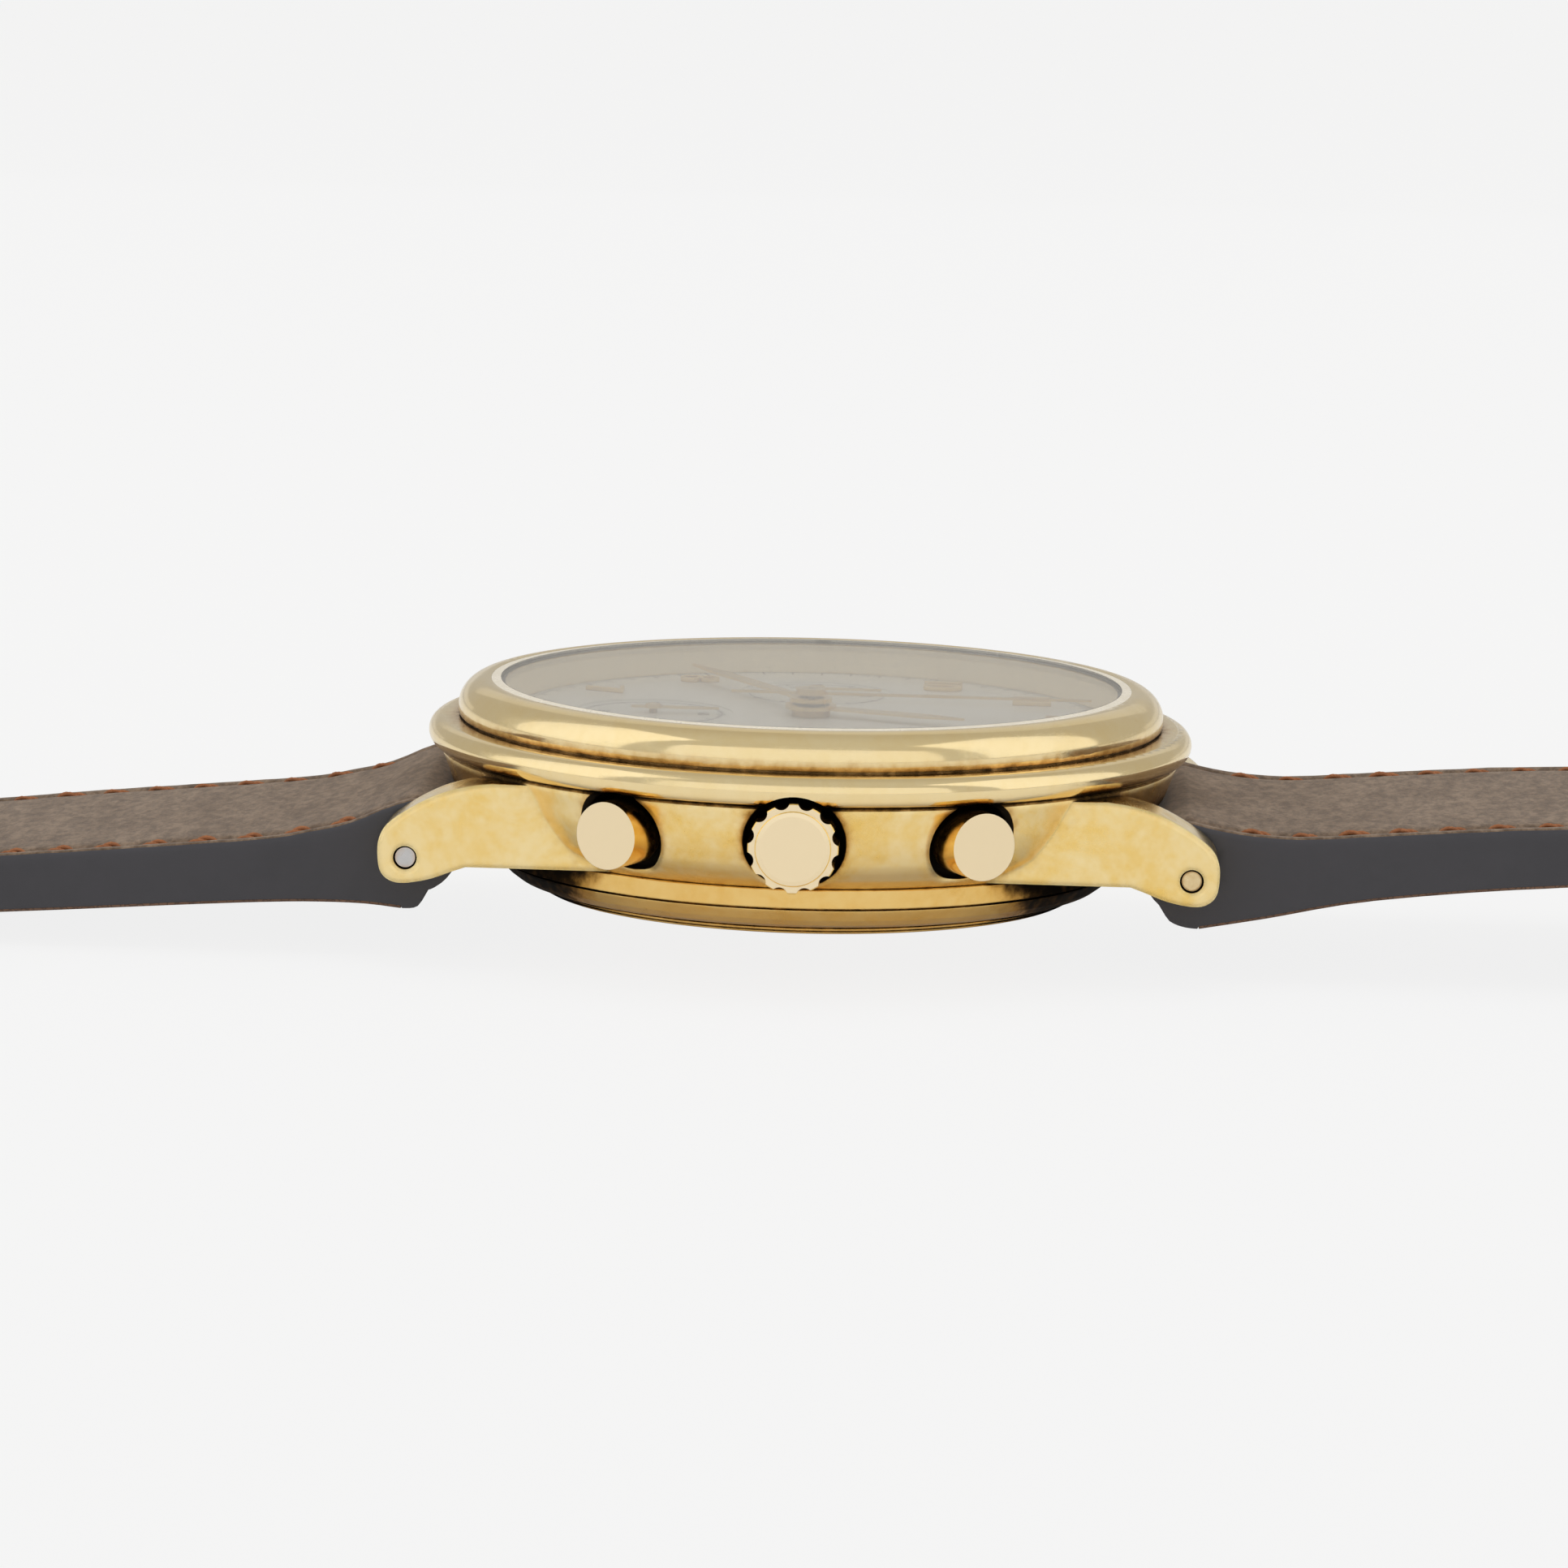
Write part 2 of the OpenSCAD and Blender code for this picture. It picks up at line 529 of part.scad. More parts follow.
// ---------- movement plates ----------
motion_floor = 5.95;
wind_pocket = [9.6, 12.15];
module main_plate() {
    color("silver") difference() {
        translate([0, 0, plate_z[0]]) cylinder(r = plate_r, h = plate_z[1] - plate_z[0]);
        // motion work and counters, on the dial side
        translate([0, 0, motion_floor]) cylinder(r = tip_r(hour_n, hour_m) + 0.15, h = 3);
        at(minute_at, motion_floor) cylinder(r = tip_r(minute_n, minute_m) + 0.15, h = 3);
        for (p = [subdial_at[1], subdial_at[2]]) at(p, motion_floor)
            cylinder(r = tip_r(counter_n, counter_m) + 0.1, h = 3);
        for (p = feet_at) at(p, plate_z[0] - 1) cylinder(r = 0.35 + slip, h = 4);
        // arbors
        translate([0, 0, plate_z[0] - 1]) cylinder(r = centre_arbor_r + run, h = 4);
        at(fourth_at, plate_z[0] - 1) cylinder(r = small_arbor_r + run, h = 4);
        for (p = [third_at, escape_at, fork_at, balance_at, barrel_at, column_at])
            at(p, plate_z[0] - 1) cylinder(r = 0.3, h = 1.6);
        for (p = [subdial_at[1], subdial_at[2]]) at(p, 5.75) cylinder(r = small_arbor_r + run, h = 2);
        for (s = [-1, 1]) at([lever_pivot[0], s * lever_pivot[1]], plate_z[0] - 1) cylinder(r = 0.45, h = 1.8);
        // stem, winding pinions and pusher stems
        translate([wind_pocket[0], 0, stem_z]) along_x()
            cylinder(r = tip_r(wind_pinion_n, wind_m) + 0.06, h = wind_pocket[1] - wind_pocket[0]);
        stem_holes(stem_r + 0.2, pusher_stem_r + 0.15, pusher_in - 1.2);
        translate([9.2, 0, stem_z]) along_x() cylinder(r = 0.45, h = 2);
    }
}
module train_bridge() {
    color("silver") difference() {
        union() {
            translate([0, 0, bridge_z[0]]) cylinder(r = plate_r - 0.8, h = bridge_z[1] - bridge_z[0]);
            for (p = pillars_at) at(p, bridge_z[0]) cylinder(r = pillar_r, h = plate_z[0] - bridge_z[0]);
        }
        for (p = [third_at, fourth_at, escape_at, fork_at, balance_at, barrel_at, [0, 0], [crown_wheel_x, 0]])
            at(p, 2) cylinder(r = 0.7, h = 3);
        for (p = pillars_at) at(p, bridge_z[0] - 1) cylinder(r = 0.42, h = 2.6);
        // the balance shows through the bridge on both sides of its cock
        at(balance_at, 2) difference() {
            cylinder(r = 3.6, h = 3);
            rotate(35) translate([-4, -0.9, -1]) cube([8, 1.8, 5]);
        }
    }
}
module bridge_screws() {
    color("steelblue") for (p = pillars_at) difference() {
        union() {
            at(p, bridge_z[0]) cylinder(r = 0.4, h = 1.5);
            at(p, bridge_z[0] - 0.22) cylinder(r = 0.75, h = 0.22);
        }
        at(p, bridge_z[0] - 0.32) translate([-1, -0.09, 0]) cube([2, 0.18, 0.2]);
    }
}
module jewels() {
    color("crimson") {
        for (p = [third_at, fourth_at, escape_at, fork_at, balance_at])
            at(p, bridge_z[0] + 0.1) ring(0.7, 0.15, 0.4);
        for (p = [barrel_at, [crown_wheel_x, 0]]) at(p, bridge_z[0] + 0.1) ring(0.7, 0.4 + run, 0.4);
        translate([0, 0, bridge_z[0] + 0.1]) ring(0.7, chrono_arbor_r + 0.02, 0.4);
        for (p = [third_at, escape_at, fork_at, balance_at, barrel_at, column_at])
            at(p, plate_z[0] + 0.05) ring(0.3, 0.15, 0.4);
    }
}

// ---------- going train ----------
barrel_turn = 0;
module barrel_drum() {
    drum_r = pitch_r(barrel_n, barrel_m) - 0.3;
    color("khaki") at(barrel_at) difference() {
        union() {
            arbor(drum_r, drum_z);
            gear(barrel_n, barrel_m, drum_teeth_z, barrel_turn);
        }
        translate([0, 0, drum_z[0] + 0.15]) cylinder(r = drum_r - 0.25, h = drum_z[1] - drum_z[0] - 0.3);
        translate([0, 0, 3]) cylinder(r = 0.4 + run, h = 3);
    }
}
module mainspring() {
    turns = 6;
    inner = 0.95;
    outer = pitch_r(barrel_n, barrel_m) - 0.3 - 0.25 - 0.1;
    strip = 0.09;
    side = [for (i = [0 : turns * 24]) let (r = inner + (outer - inner) * i / (turns * 24)) [r, 15 * i]];
    color("silver") at(barrel_at, drum_z[0] + 0.2) linear_extrude(height = drum_z[1] - drum_z[0] - 0.4)
        polygon(concat([for (s = side) polar(s[0], s[1])],
            [for (i = [len(side) - 1 : -1 : 0]) polar(side[i][0] - strip, side[i][1])]));
}
crown_wheel_turn = 0;
module ratchet_wheel() {
    from_crown = atan2(barrel_at[1], barrel_at[0] - crown_wheel_x);
    color("silver") at(barrel_at) {
        gear(ratchet_n, wind_m, ratchet_z, mesh(crown_wheel_n, crown_wheel_turn, ratchet_n, from_crown));
        arbor(0.4, [bridge_z[0], drum_z[1] + 0.3]);
        arbor(0.7, [drum_z[0] + 0.2, drum_z[1] - 0.2]);
        arbor(0.13, [drum_z[1], plate_z[0] + pivot_depth]);
    }
}
module crown_wheel() {
    color("silver") at([crown_wheel_x, 0]) {
        gear(crown_wheel_n, wind_m, crown_wheel_z, crown_wheel_turn);
        arbor(0.4, [bridge_z[0], crown_wheel_z[1]]);
        arbor(0.7, [bridge_z[1] + 0.03, crown_wheel_z[0]]);
    }
}
module winding_pinion() {
    color("silver") translate([0, 0, stem_z]) along_x() {
        gear(wind_pinion_n, wind_m, [10.97, 11.9], 180 / wind_pinion_n, stem_r + run);
        translate([0, 0, 9.9]) ring(0.95, 0.4 + run, 0.9);
    }
}
centre_turn = 0;
module centre_wheel() {
    from_barrel = barrel_a + 180;
    color("khaki") difference() {
        union() {
            crossed_wheel(centre_n, centre_m, centre_wheel_z, centre_turn, 0.9);
            gear(centre_pinion_n, barrel_m, [drum_teeth_z[0] - 0.05, drum_teeth_z[1] + 0.15],
                mesh(barrel_n, barrel_turn, centre_pinion_n, from_barrel));
            arbor(centre_arbor_r, [drum_teeth_z[0] - 0.05, minute_z + 0.1]);
        }
        translate([0, 0, 3]) cylinder(r = centre_bore_r, h = 6);
    }
}
third_turn = mesh(centre_n, centre_turn, third_pinion_n, atan2(third_at[1], third_at[0]));
module third_wheel() {
    color("khaki") at(third_at) {
        crossed_wheel(third_n, third_m, third_z, 0, 0.6);
        gear(third_pinion_n, centre_m, [4.4, 5.3], third_turn);
        arbor(0.25, [bridge_z[1], plate_z[0]]);
        arbor(0.13, [bridge_z[1] - pivot_depth, plate_z[0] + pivot_depth]);
    }
}
module fourth_wheel() {
    from_third = atan2(fourth_at[1] - third_at[1], fourth_at[0] - third_at[0]);
    color("khaki") at(fourth_at) {
        crossed_wheel(fourth_n, fourth_m, fourth_z, 0, 0.6, 4);
        gear(fourth_pinion_n, third_m, [4.05, 4.6], mesh(third_n, 0, fourth_pinion_n, from_third));
        arbor(small_arbor_r, [bridge_z[1], small_z + 0.2]);
        arbor(0.13, [bridge_z[1] - pivot_depth, bridge_z[1]]);
    }
}
module escape_wheel() {
    p = 360 / escape_teeth;
    color("khaki") at(escape_at) {
        translate([0, 0, escape_z[0]]) linear_extrude(height = escape_z[1] - escape_z[0]) difference() {
            polygon([for (i = [0 : escape_teeth - 1]) each [polar(1.35, p * i), polar(escape_r, p * (i + 0.42)),
                polar(escape_r, p * (i + 0.52)), polar(1.45, p * (i + 0.45))]]);
            for (i = [0 : 3]) rotate(90 * i)
                polygon([[0.55, 0.2], [0.95, 0.2], [0.75, 0.75], [0.2, 0.95], [0.2, 0.55]]);
        }
        gear(escape_pinion_n, fourth_m, [3.5, 4.0], mesh(fourth_n, 0, escape_pinion_n, 205));
        arbor(0.2, [bridge_z[1], plate_z[0]]);
        arbor(0.13, [bridge_z[1] - pivot_depth, plate_z[0] + pivot_depth]);
    }
}
module pallet_fork() {
    reach = norm(balance_at - fork_at) - 0.95;
    color("silver") at(fork_at) {
        rotate(fork_dir) translate([0, 0, escape_z[0]]) linear_extrude(height = 0.18)
            polygon([[-1.0, -1.5], [0.3, -1.5], [0.45, -0.25], [reach - 0.2, -0.12], [reach, -0.35],
                [reach + 0.45, -0.35], [reach + 0.3, -0.15], [reach + 0.3, 0.15], [reach + 0.45, 0.35],
                [reach, 0.35], [reach - 0.2, 0.12], [0.45, 0.25], [0.3, 1.5], [-1.0, 1.5], [-1.0, 1.3],
                [-0.1, 1.1], [-0.3, 0], [-0.1, -1.1], [-1.0, -1.3]]);
        arbor(0.2, [bridge_z[1], plate_z[0]]);
        arbor(0.13, [bridge_z[1] - pivot_depth, plate_z[0] + pivot_depth]);
    }
}
module balance_wheel() {
    rim_r = 3.2;
    color("khaki") at(balance_at) {
        translate([0, 0, balance_z[0]]) {
            ring(rim_r, rim_r - 0.32, balance_z[1] - balance_z[0]);
            for (i = [0 : 2]) rotate(120 * i + 20) translate([0, -0.15, 0.08]) cube([rim_r - 0.1, 0.3, 0.18]);
            cylinder(r = 0.45, h = 0.3);
        }
        arbor(0.2, [bridge_z[1], plate_z[0]]);
        arbor(0.13, [bridge_z[1] - pivot_depth, plate_z[0] + pivot_depth]);
        arbor(0.4, [4.45, 4.6]);
        rotate(fork_dir + 180) translate([0.32, 0, 4.45]) cylinder(r = 0.07, h = 0.35);
    }
}
module hairspring() {
    turns = 7;
    strip = 0.04;
    steps = turns * 20;
    path = [for (i = [0 : steps]) [0.4 + 1.8 * i / steps, 18 * i]];
    color("steelblue") at(balance_at, 3.5) {
        linear_extrude(height = 0.12) polygon(concat([for (s = path) polar(s[0], s[1])],
            [for (i = [steps : -1 : 0]) polar(path[i][0] - strip, path[i][1])]));
        ring(0.38, 0.22, 0.12);
    }
}

// ---------- motion work ----------
cannon_z = [6.02, 6.24];
cannon_turn = 0;
module cannon_pinion() {
    color("silver") difference() {
        union() {
            gear(cannon_n, minute_m, cannon_z, cannon_turn);
            arbor(cannon_r, [cannon_z[0], minute_z + 0.2]);
        }
        translate([0, 0, 5]) cylinder(r = centre_arbor_r, h = 5);
    }
}
module minute_wheel() {
    color("khaki") at(minute_at) {
        gear(minute_n, minute_m, [6.06, 6.2], mesh(cannon_n, cannon_turn, minute_n, 118));
        gear(minute_pinion_n, hour_m, [6.2, 6.6], 0);
        arbor(0.2, [motion_floor, 6.7]);
    }
}
module hour_wheel() {
    hour_gear_z = [6.36, 6.54];
    color("khaki") difference() {
        union() {
            gear(hour_n, hour_m, hour_gear_z, mesh(minute_pinion_n, 0, hour_n, 118 + 180));
            arbor(hour_tube[1], [hour_gear_z[0], hour_z + 0.16]);
        }
        translate([0, 0, 6]) cylinder(r = hour_tube[0], h = 3);
    }
}

// ---------- chronograph ----------
module chrono_wheel() {
    color("khaki") {
        gear(28, 0.1, [3.24, 3.4]);
        translate([0, 0, 3.4]) linear_extrude(height = 0.16)
            polygon([for (a = [0 : 15 : 345]) polar(0.3 + 0.55 * (1 - abs(a - 180) / 180), a)]);
        arbor(chrono_arbor_r, [bridge_z[1] - 0.4, chrono_z + 0.3]);
    }
}
module column_wheel() {
    color("silver") at(column_at) {
        gear(12, 0.12, [4.1, 4.4]);
        for (i = [0 : 5]) rotate(60 * i) translate([0.42, -0.14, 4.4]) cube([0.26, 0.28, 0.6]);
        arbor(0.3, [3.2, 5.0]);
        arbor(0.13, [5.0, plate_z[0] + pivot_depth]);
    }
}
module lever(side) {
    tip = [lever_tip[0], side * lever_tip[1]];
    pivot = [lever_pivot[0], side * lever_pivot[1]];
    color("silver") {
        translate([0, 0, 4.95]) linear_extrude(height = 0.4) {
            polygon([for (s = [-1, 1], e = [0, 1]) let (d = (tip - pivot) / norm(tip - pivot), n = [-d[1], d[0]] * 0.3 * s)
                (e == (s > 0 ? 0 : 1) ? pivot : tip) + n]);
            translate(pivot) circle(r = 0.7);
            translate(tip) circle(r = lever_end_r);
        }
        at(pivot, 4.6) cylinder(r = 0.4, h = 1.4);
    }
}
module start_lever() { lever(1); }
module reset_lever() { lever(-1); }
module rotor() {
    rotor_r = plate_r - 1.0;
    color("gold") difference() {
        union() {
            difference() {
                union() {
                    translate([0, 0, 1.55]) cylinder(r = rotor_r, h = 0.3);
                    translate([0, 0, 1.25]) ring(rotor_r, rotor_r - 2.3, 0.9);
                }
                translate([-20, 0, 0]) cube([40, 20, 5]);
            }
            translate([0, 0, 1.55]) cylinder(r = 2.4, h = 0.75);
        }
        translate([0, 0, 1]) cylinder(r = 1.65, h = 3);
    }
}
module rotor_bearing() {
    color("silver") translate([0, 0, 1.5]) {
        ring(1.65 - run, 0.3, 0.8);
        translate([0, 0, 0.8]) ring(1.2, 0.8, bridge_z[0] - 2.3);
    }
}

// ---------- strap ----------
module spring_bar() {
    color("silver") translate([0, bar_y, bar_z]) along_x() {
        cylinder(r = bar_r, h = lug_gap - 1.2, center = true);
        for (s = [0, 1]) rotate([180 * s, 0, 0]) translate([0, 0, lug_gap / 2 - 0.6]) {
            cylinder(r = 0.62, h = 0.5);
            cylinder(r = lug_hole_r - 0.09, h = lug_w + 0.45);
        }
    }
}
module spring_bar_12() { spring_bar(); }
module spring_bar_6() { rotate(180) spring_bar(); }

// The strap's end around its bar, as seen from the side
strap_nose = arc([bar_y, bar_z], relief_r - soft, 105, 245, 14);
function strap_width(d) = strap_w + (buckle_w - strap_w) * min(1, max(0, (d - 17) / 31));
module plan(reach, tip = 0) {
    stations = [-7, 17, 48, reach];
    polygon(concat([for (d = stations) [strap_width(d) / 2, bar_y + d]],
        tip > 0 ? arc([0, bar_y + reach], buckle_w / 2, 10, 170, 16) : [],
        [for (d = back_to_front(stations)) [-strap_width(d) / 2, bar_y + d]]));
}
module strap_cut(reach, tip = 0) { translate([0, 0, -10]) linear_extrude(height = 30) plan(reach, tip); }
module tunnel() { translate([0, bar_y, bar_z]) along_x() cylinder(r = loop_r, h = 40, center = true); }
module lining(under, reach, tip) {
    intersection() {
        outline_x(40) polygon(concat(from_bar(under), back_to_front(from_bar(under, lining_t - 0.02))));
        strap_cut(reach, tip);
    }
}
module strap_12() {
    loop = floor_z + 0.05 - buckle_z;
    color("saddlebrown") difference() {
        intersection() {
            outline_x(40) polygon(concat(from_bar(smooth(under_12), lining_t),
                arc([buckle_y, buckle_z], -loop, -110, 100, 12),
                from_bar(smooth(over_12)), strap_nose));
            strap_cut(reach_12 + 4);
        }
        tunnel();
        translate([0, buckle_y, buckle_z]) along_x() cylinder(r = pin_r + 0.1, h = 40, center = true);
        translate([-tongue_w / 2 - soft, buckle_y - 2.4, -10]) cube([tongue_w + 2 * soft, 20, 20]);
    }
}
module lining_12() { color("peru") lining(smooth(under_12), reach_12, 0); }
module tongue_holes() {
    for (i = [0 : strap_holes - 1])
        translate([0, bar_y + first_hole + i * hole_pitch, -10]) cylinder(r = strap_hole_r, h = 20);
}
tip_start = reach_6 - buckle_w / 2;
module strap_6() {
    over = smooth(over_6);
    color("saddlebrown") rotate(180) difference() {
        intersection() {
            outline_x(40) polygon(concat(from_bar(smooth(under_6), lining_t),
                from_bar([[reach_6 + 1, lining_t - bar_height], [reach_6 + 1, 2.0 - bar_height],
                    [tip_start + 2, over[0][1]]]),
                from_bar(over), strap_nose));
            strap_cut(tip_start, 1);
        }
        tunnel();
        tongue_holes();
    }
}
module lining_6() {
    color("peru") rotate(180) difference() {
        lining(concat(smooth(under_6), [[reach_6 + 1, -bar_height]]), tip_start, 1);
        tongue_holes();
    }
}
module on_pin(r, w) { translate([0, buckle_y, buckle_z]) along_x() cylinder(r = r, h = w, center = true); }
frame_w = buckle_w + 2 * (soft + frame_side);
module buckle_bar() { color("gold") on_pin(pin_r, frame_w - 0.6); }
module buckle_frame() {
    front = [buckle_y + frame_reach, buckle_z - 0.15];
    color("gold") difference() {
        union() {
            for (s = [-1, 1]) translate([s * (frame_w - frame_side) / 2, 0, 0]) hull() {
                for (end = [[buckle_y, buckle_z], front]) translate([0, end[0], end[1]]) along_x()
                    cylinder(r = 1.4, h = frame_side, center = true, $fn = 32);
            }
            translate([0, front[0], front[1]]) along_x() cylinder(r = 1.3, h = frame_w - 0.1, center = true);
        }
        on_pin(pin_r + run, frame_w - 0.5);
    }
}
module buckle_tongue() {
    color("gold") difference() {
        union() {
            on_pin(1.25, tongue_w);
            translate([0, buckle_y, buckle_z]) rotate([4, 0, 0])
                translate([-0.8, 0, 0.5]) cube([1.6, frame_reach + 0.9, 0.75]);
        }
        on_pin(pin_r + run, 10);
    }
}
module keeper(d) {
    under = smooth(under_12);
    z = lookup(d + keeper_l / 2, under);
    slope = atan2(lookup(d + keeper_l, under) - lookup(d, under), keeper_l);
    w = buckle_w + 2 * soft;
    translate([0, bar_y + d + keeper_l / 2, bar_z + z]) rotate([slope, 0, 0]) difference() {
        translate([-w / 2 - keeper_wall, -keeper_l / 2, -keeper_gap - keeper_wall])
            cube([w + 2 * keeper_wall, keeper_l, keeper_room + 2 * keeper_wall]);
        translate([-w / 2, -keeper_l, -keeper_gap]) cube([w, 2 * keeper_l, keeper_room]);
    }
}
keeper_gap = 0.15;
module fixed_keeper() { color("saddlebrown") keeper(fixed_keeper_at); }
module free_keeper() { color("saddlebrown") keeper(free_keeper_at); }

case_middle();
bezel();
crystal();
crystal_gasket();
flange_ring();
case_back();
case_back_gasket();
case_tubes();
crown();
winding_stem();
crown_gasket();
start_pusher();
reset_pusher();
start_pusher_spring();
reset_pusher_spring();
movement_ring();
dial();
hour_markers();
hour_hand();
minute_hand();
chrono_hand();
small_seconds_hand();
minute_counter_hand();
hour_counter_hand();
main_plate();
train_bridge();
bridge_screws();
jewels();
barrel_drum();
mainspring();
ratchet_wheel();
crown_wheel();
winding_pinion();
centre_wheel();
cannon_pinion();
minute_wheel();
hour_wheel();
third_wheel();
fourth_wheel();
escape_wheel();
pallet_fork();
balance_wheel();
hairspring();
chrono_wheel();
column_wheel();
start_lever();
reset_lever();
rotor();
rotor_bearing();
spring_bar_12();
spring_bar_6();
strap_12();
strap_6();
lining_12();
lining_6();
buckle_frame();
buckle_tongue();
buckle_bar();
fixed_keeper();
free_keeper();
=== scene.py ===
# %% [markdown]
# # A gold chronograph wristwatch on a nubuck strap
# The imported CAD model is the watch's skeleton: every metal piece is already there, at its real size.
# This lesson gives those pieces their finish, and builds what CAD leaves plain: the sewn leather strap,
# its keepers, the applied numerals and the printed scales of the dial.
# Blender works in metres here, and a watch is small, so sizes are written in millimetres times MM.

# %% Load the frame
import json
import math
from collections import namedtuple

import bmesh
import bpy
from mathutils import Matrix, Vector, noise
from mathutils.bvhtree import BVHTree


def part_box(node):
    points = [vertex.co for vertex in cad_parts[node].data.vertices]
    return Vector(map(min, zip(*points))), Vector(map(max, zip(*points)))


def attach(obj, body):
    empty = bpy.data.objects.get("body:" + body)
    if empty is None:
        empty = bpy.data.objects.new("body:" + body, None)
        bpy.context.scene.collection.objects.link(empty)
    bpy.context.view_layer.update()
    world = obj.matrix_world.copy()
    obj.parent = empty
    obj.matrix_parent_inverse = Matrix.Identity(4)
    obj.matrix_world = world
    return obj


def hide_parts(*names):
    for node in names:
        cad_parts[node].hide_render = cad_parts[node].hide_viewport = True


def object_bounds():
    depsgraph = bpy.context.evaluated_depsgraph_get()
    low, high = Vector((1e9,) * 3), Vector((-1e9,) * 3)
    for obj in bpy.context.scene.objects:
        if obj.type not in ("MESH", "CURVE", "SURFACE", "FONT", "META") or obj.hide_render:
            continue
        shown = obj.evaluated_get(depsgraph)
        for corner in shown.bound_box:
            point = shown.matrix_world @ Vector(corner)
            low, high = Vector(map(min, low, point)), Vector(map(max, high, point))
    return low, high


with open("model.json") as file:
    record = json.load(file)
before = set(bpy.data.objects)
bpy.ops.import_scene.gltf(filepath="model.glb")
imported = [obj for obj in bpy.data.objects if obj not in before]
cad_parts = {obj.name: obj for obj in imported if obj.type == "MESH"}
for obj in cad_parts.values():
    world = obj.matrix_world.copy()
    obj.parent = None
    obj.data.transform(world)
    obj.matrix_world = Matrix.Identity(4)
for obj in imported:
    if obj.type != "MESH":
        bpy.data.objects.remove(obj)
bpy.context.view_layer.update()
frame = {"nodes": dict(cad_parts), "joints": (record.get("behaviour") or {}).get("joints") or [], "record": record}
NODES = frame["nodes"]
MM = 0.001

# %% [markdown]
# ## Camera
# The watch is seen from the crown side, only nine degrees above the table, from 30 cm with a long lens.
# A camera can be turned with Euler angles, but a basis built from the viewing direction is easier to
# check: its third column points from the target back to the camera, its first two are image right and up.

# %% Camera
def new_object(name, data):
    """An object in the scene for a mesh, a lamp or a camera."""
    made = bpy.data.objects.new(name, data)
    bpy.context.scene.collection.objects.link(made)
    return made


ELEVATION = math.radians(9.197)
YAW = math.radians(2.071)
ROLL = math.radians(1.391)
DISTANCE = 0.3
TARGET = Vector((0, 0, 5 * MM))

back = Vector((
    math.cos(ELEVATION) * math.cos(YAW), math.cos(ELEVATION) * math.sin(YAW), math.sin(ELEVATION)))
level_right = (-back).cross(Vector((0, 0, 1))).normalized()
level_up = level_right.cross(-back)
right = level_right * math.cos(ROLL) + level_up * math.sin(ROLL)
up = level_up * math.cos(ROLL) - level_right * math.sin(ROLL)

lens = bpy.data.cameras.new("camera")
lens.sensor_width = 36
lens.lens = 137.43
lens.shift_x = -0.016
lens.shift_y = 0.00225
lens.clip_start = 0.01
camera = new_object("camera", lens)
facing = Matrix((right, up, back)).transposed().to_4x4()
camera.matrix_world = Matrix.Translation(TARGET + back * DISTANCE) @ facing
bpy.context.scene.camera = camera
bpy.context.scene.view_settings.view_transform = "Standard"
print("camera at", [round(v / MM) for v in camera.location], "mm")

# %% [markdown]
# ## Node helpers
# Both shaders and Geometry Nodes are trees of nodes. Setting each socket on its own line makes long
# scripts, so one helper adds a node, sets its properties and fills its inputs. An input is a plain value,
# or an earlier node or one of its output sockets, which is then linked. The operations that come back
# most often, such as sums, ramps, blends and noise, each have a short helper of their own.

# %% Node helpers
def fill(node, inputs):
    """Sets a node's inputs. A value is plain, or an earlier node or one of its sockets, which is linked."""
    for key, value in inputs.items():
        if isinstance(value, bpy.types.Node):
            value = value.outputs[0]
        if isinstance(value, bpy.types.NodeSocket):
            node.id_data.links.new(value, node.inputs[key])
        else:
            node.inputs[key].default_value = value


def put(tree, kind, inputs=None, **settings):
    """Adds a node of a kind to a tree and returns it."""
    made = tree.nodes.new(kind)
    for key, value in settings.items():
        setattr(made, key, value)
    fill(made, inputs or {})
    return made


def calc(tree, operation, a, b=0.0, c=0.0):
    """A Math node's result."""
    return put(tree, "ShaderNodeMath", {0: a, 1: b, 2: c}, operation=operation).outputs[0]


def vector_calc(tree, operation, a, b=(0, 0, 0)):
    """A Vector Math node's result: a number where the operation gives one, or else a vector."""
    made = put(tree, "ShaderNodeVectorMath", {0: a, 1: b}, operation=operation)
    return made.outputs["Value" if operation in ("LENGTH", "DISTANCE", "DOT_PRODUCT") else "Vector"]


def ramp(tree, value, low, high, to_low=0.0, to_high=1.0):
    """A value taken from one range to another, with soft ends."""
    return put(tree, "ShaderNodeMapRange", {0: value, 1: low, 2: high, 3: to_low, 4: to_high},
               interpolation_type="SMOOTHSTEP").outputs[0]


print("node helpers ready")

# %% Helpers for colours and patterns
def blend_colour(tree, share, a, b, **settings):
    """Colour a where share is 0 and b where it is 1, or mixed in another way that settings name."""
    a, b = ((*colour, 1) if isinstance(colour, tuple) else colour for colour in (a, b))
    return put(tree, "ShaderNodeMix", {0: share, 6: a, 7: b}, data_type="RGBA", **settings).outputs[2]


def here(tree):
    """The place of the shaded point, in metres."""
    return put(tree, "ShaderNodeTexCoord").outputs["Object"]


def noise_at(tree, place, scale, detail, roughness=0.5, distortion=0.0):
    """A Noise Texture's value."""
    return put(tree, "ShaderNodeTexNoise", {
        "Vector": place, "Scale": scale, "Detail": detail, "Roughness": roughness,
        "Distortion": distortion}).outputs[0]


def relief(tree, strength, depth, height):
    """A Bump node, which tilts the surface as a height does. The depth of its relief is in metres."""
    return put(tree, "ShaderNodeBump", {"Strength": strength, "Distance": depth, "Height": height})


print("colour and pattern helpers ready")

# %% Helpers for node groups
SOCKET_KINDS = {
    int: "NodeSocketInt", str: "NodeSocketString", float: "NodeSocketFloat",
    type(None): "NodeSocketGeometry"}


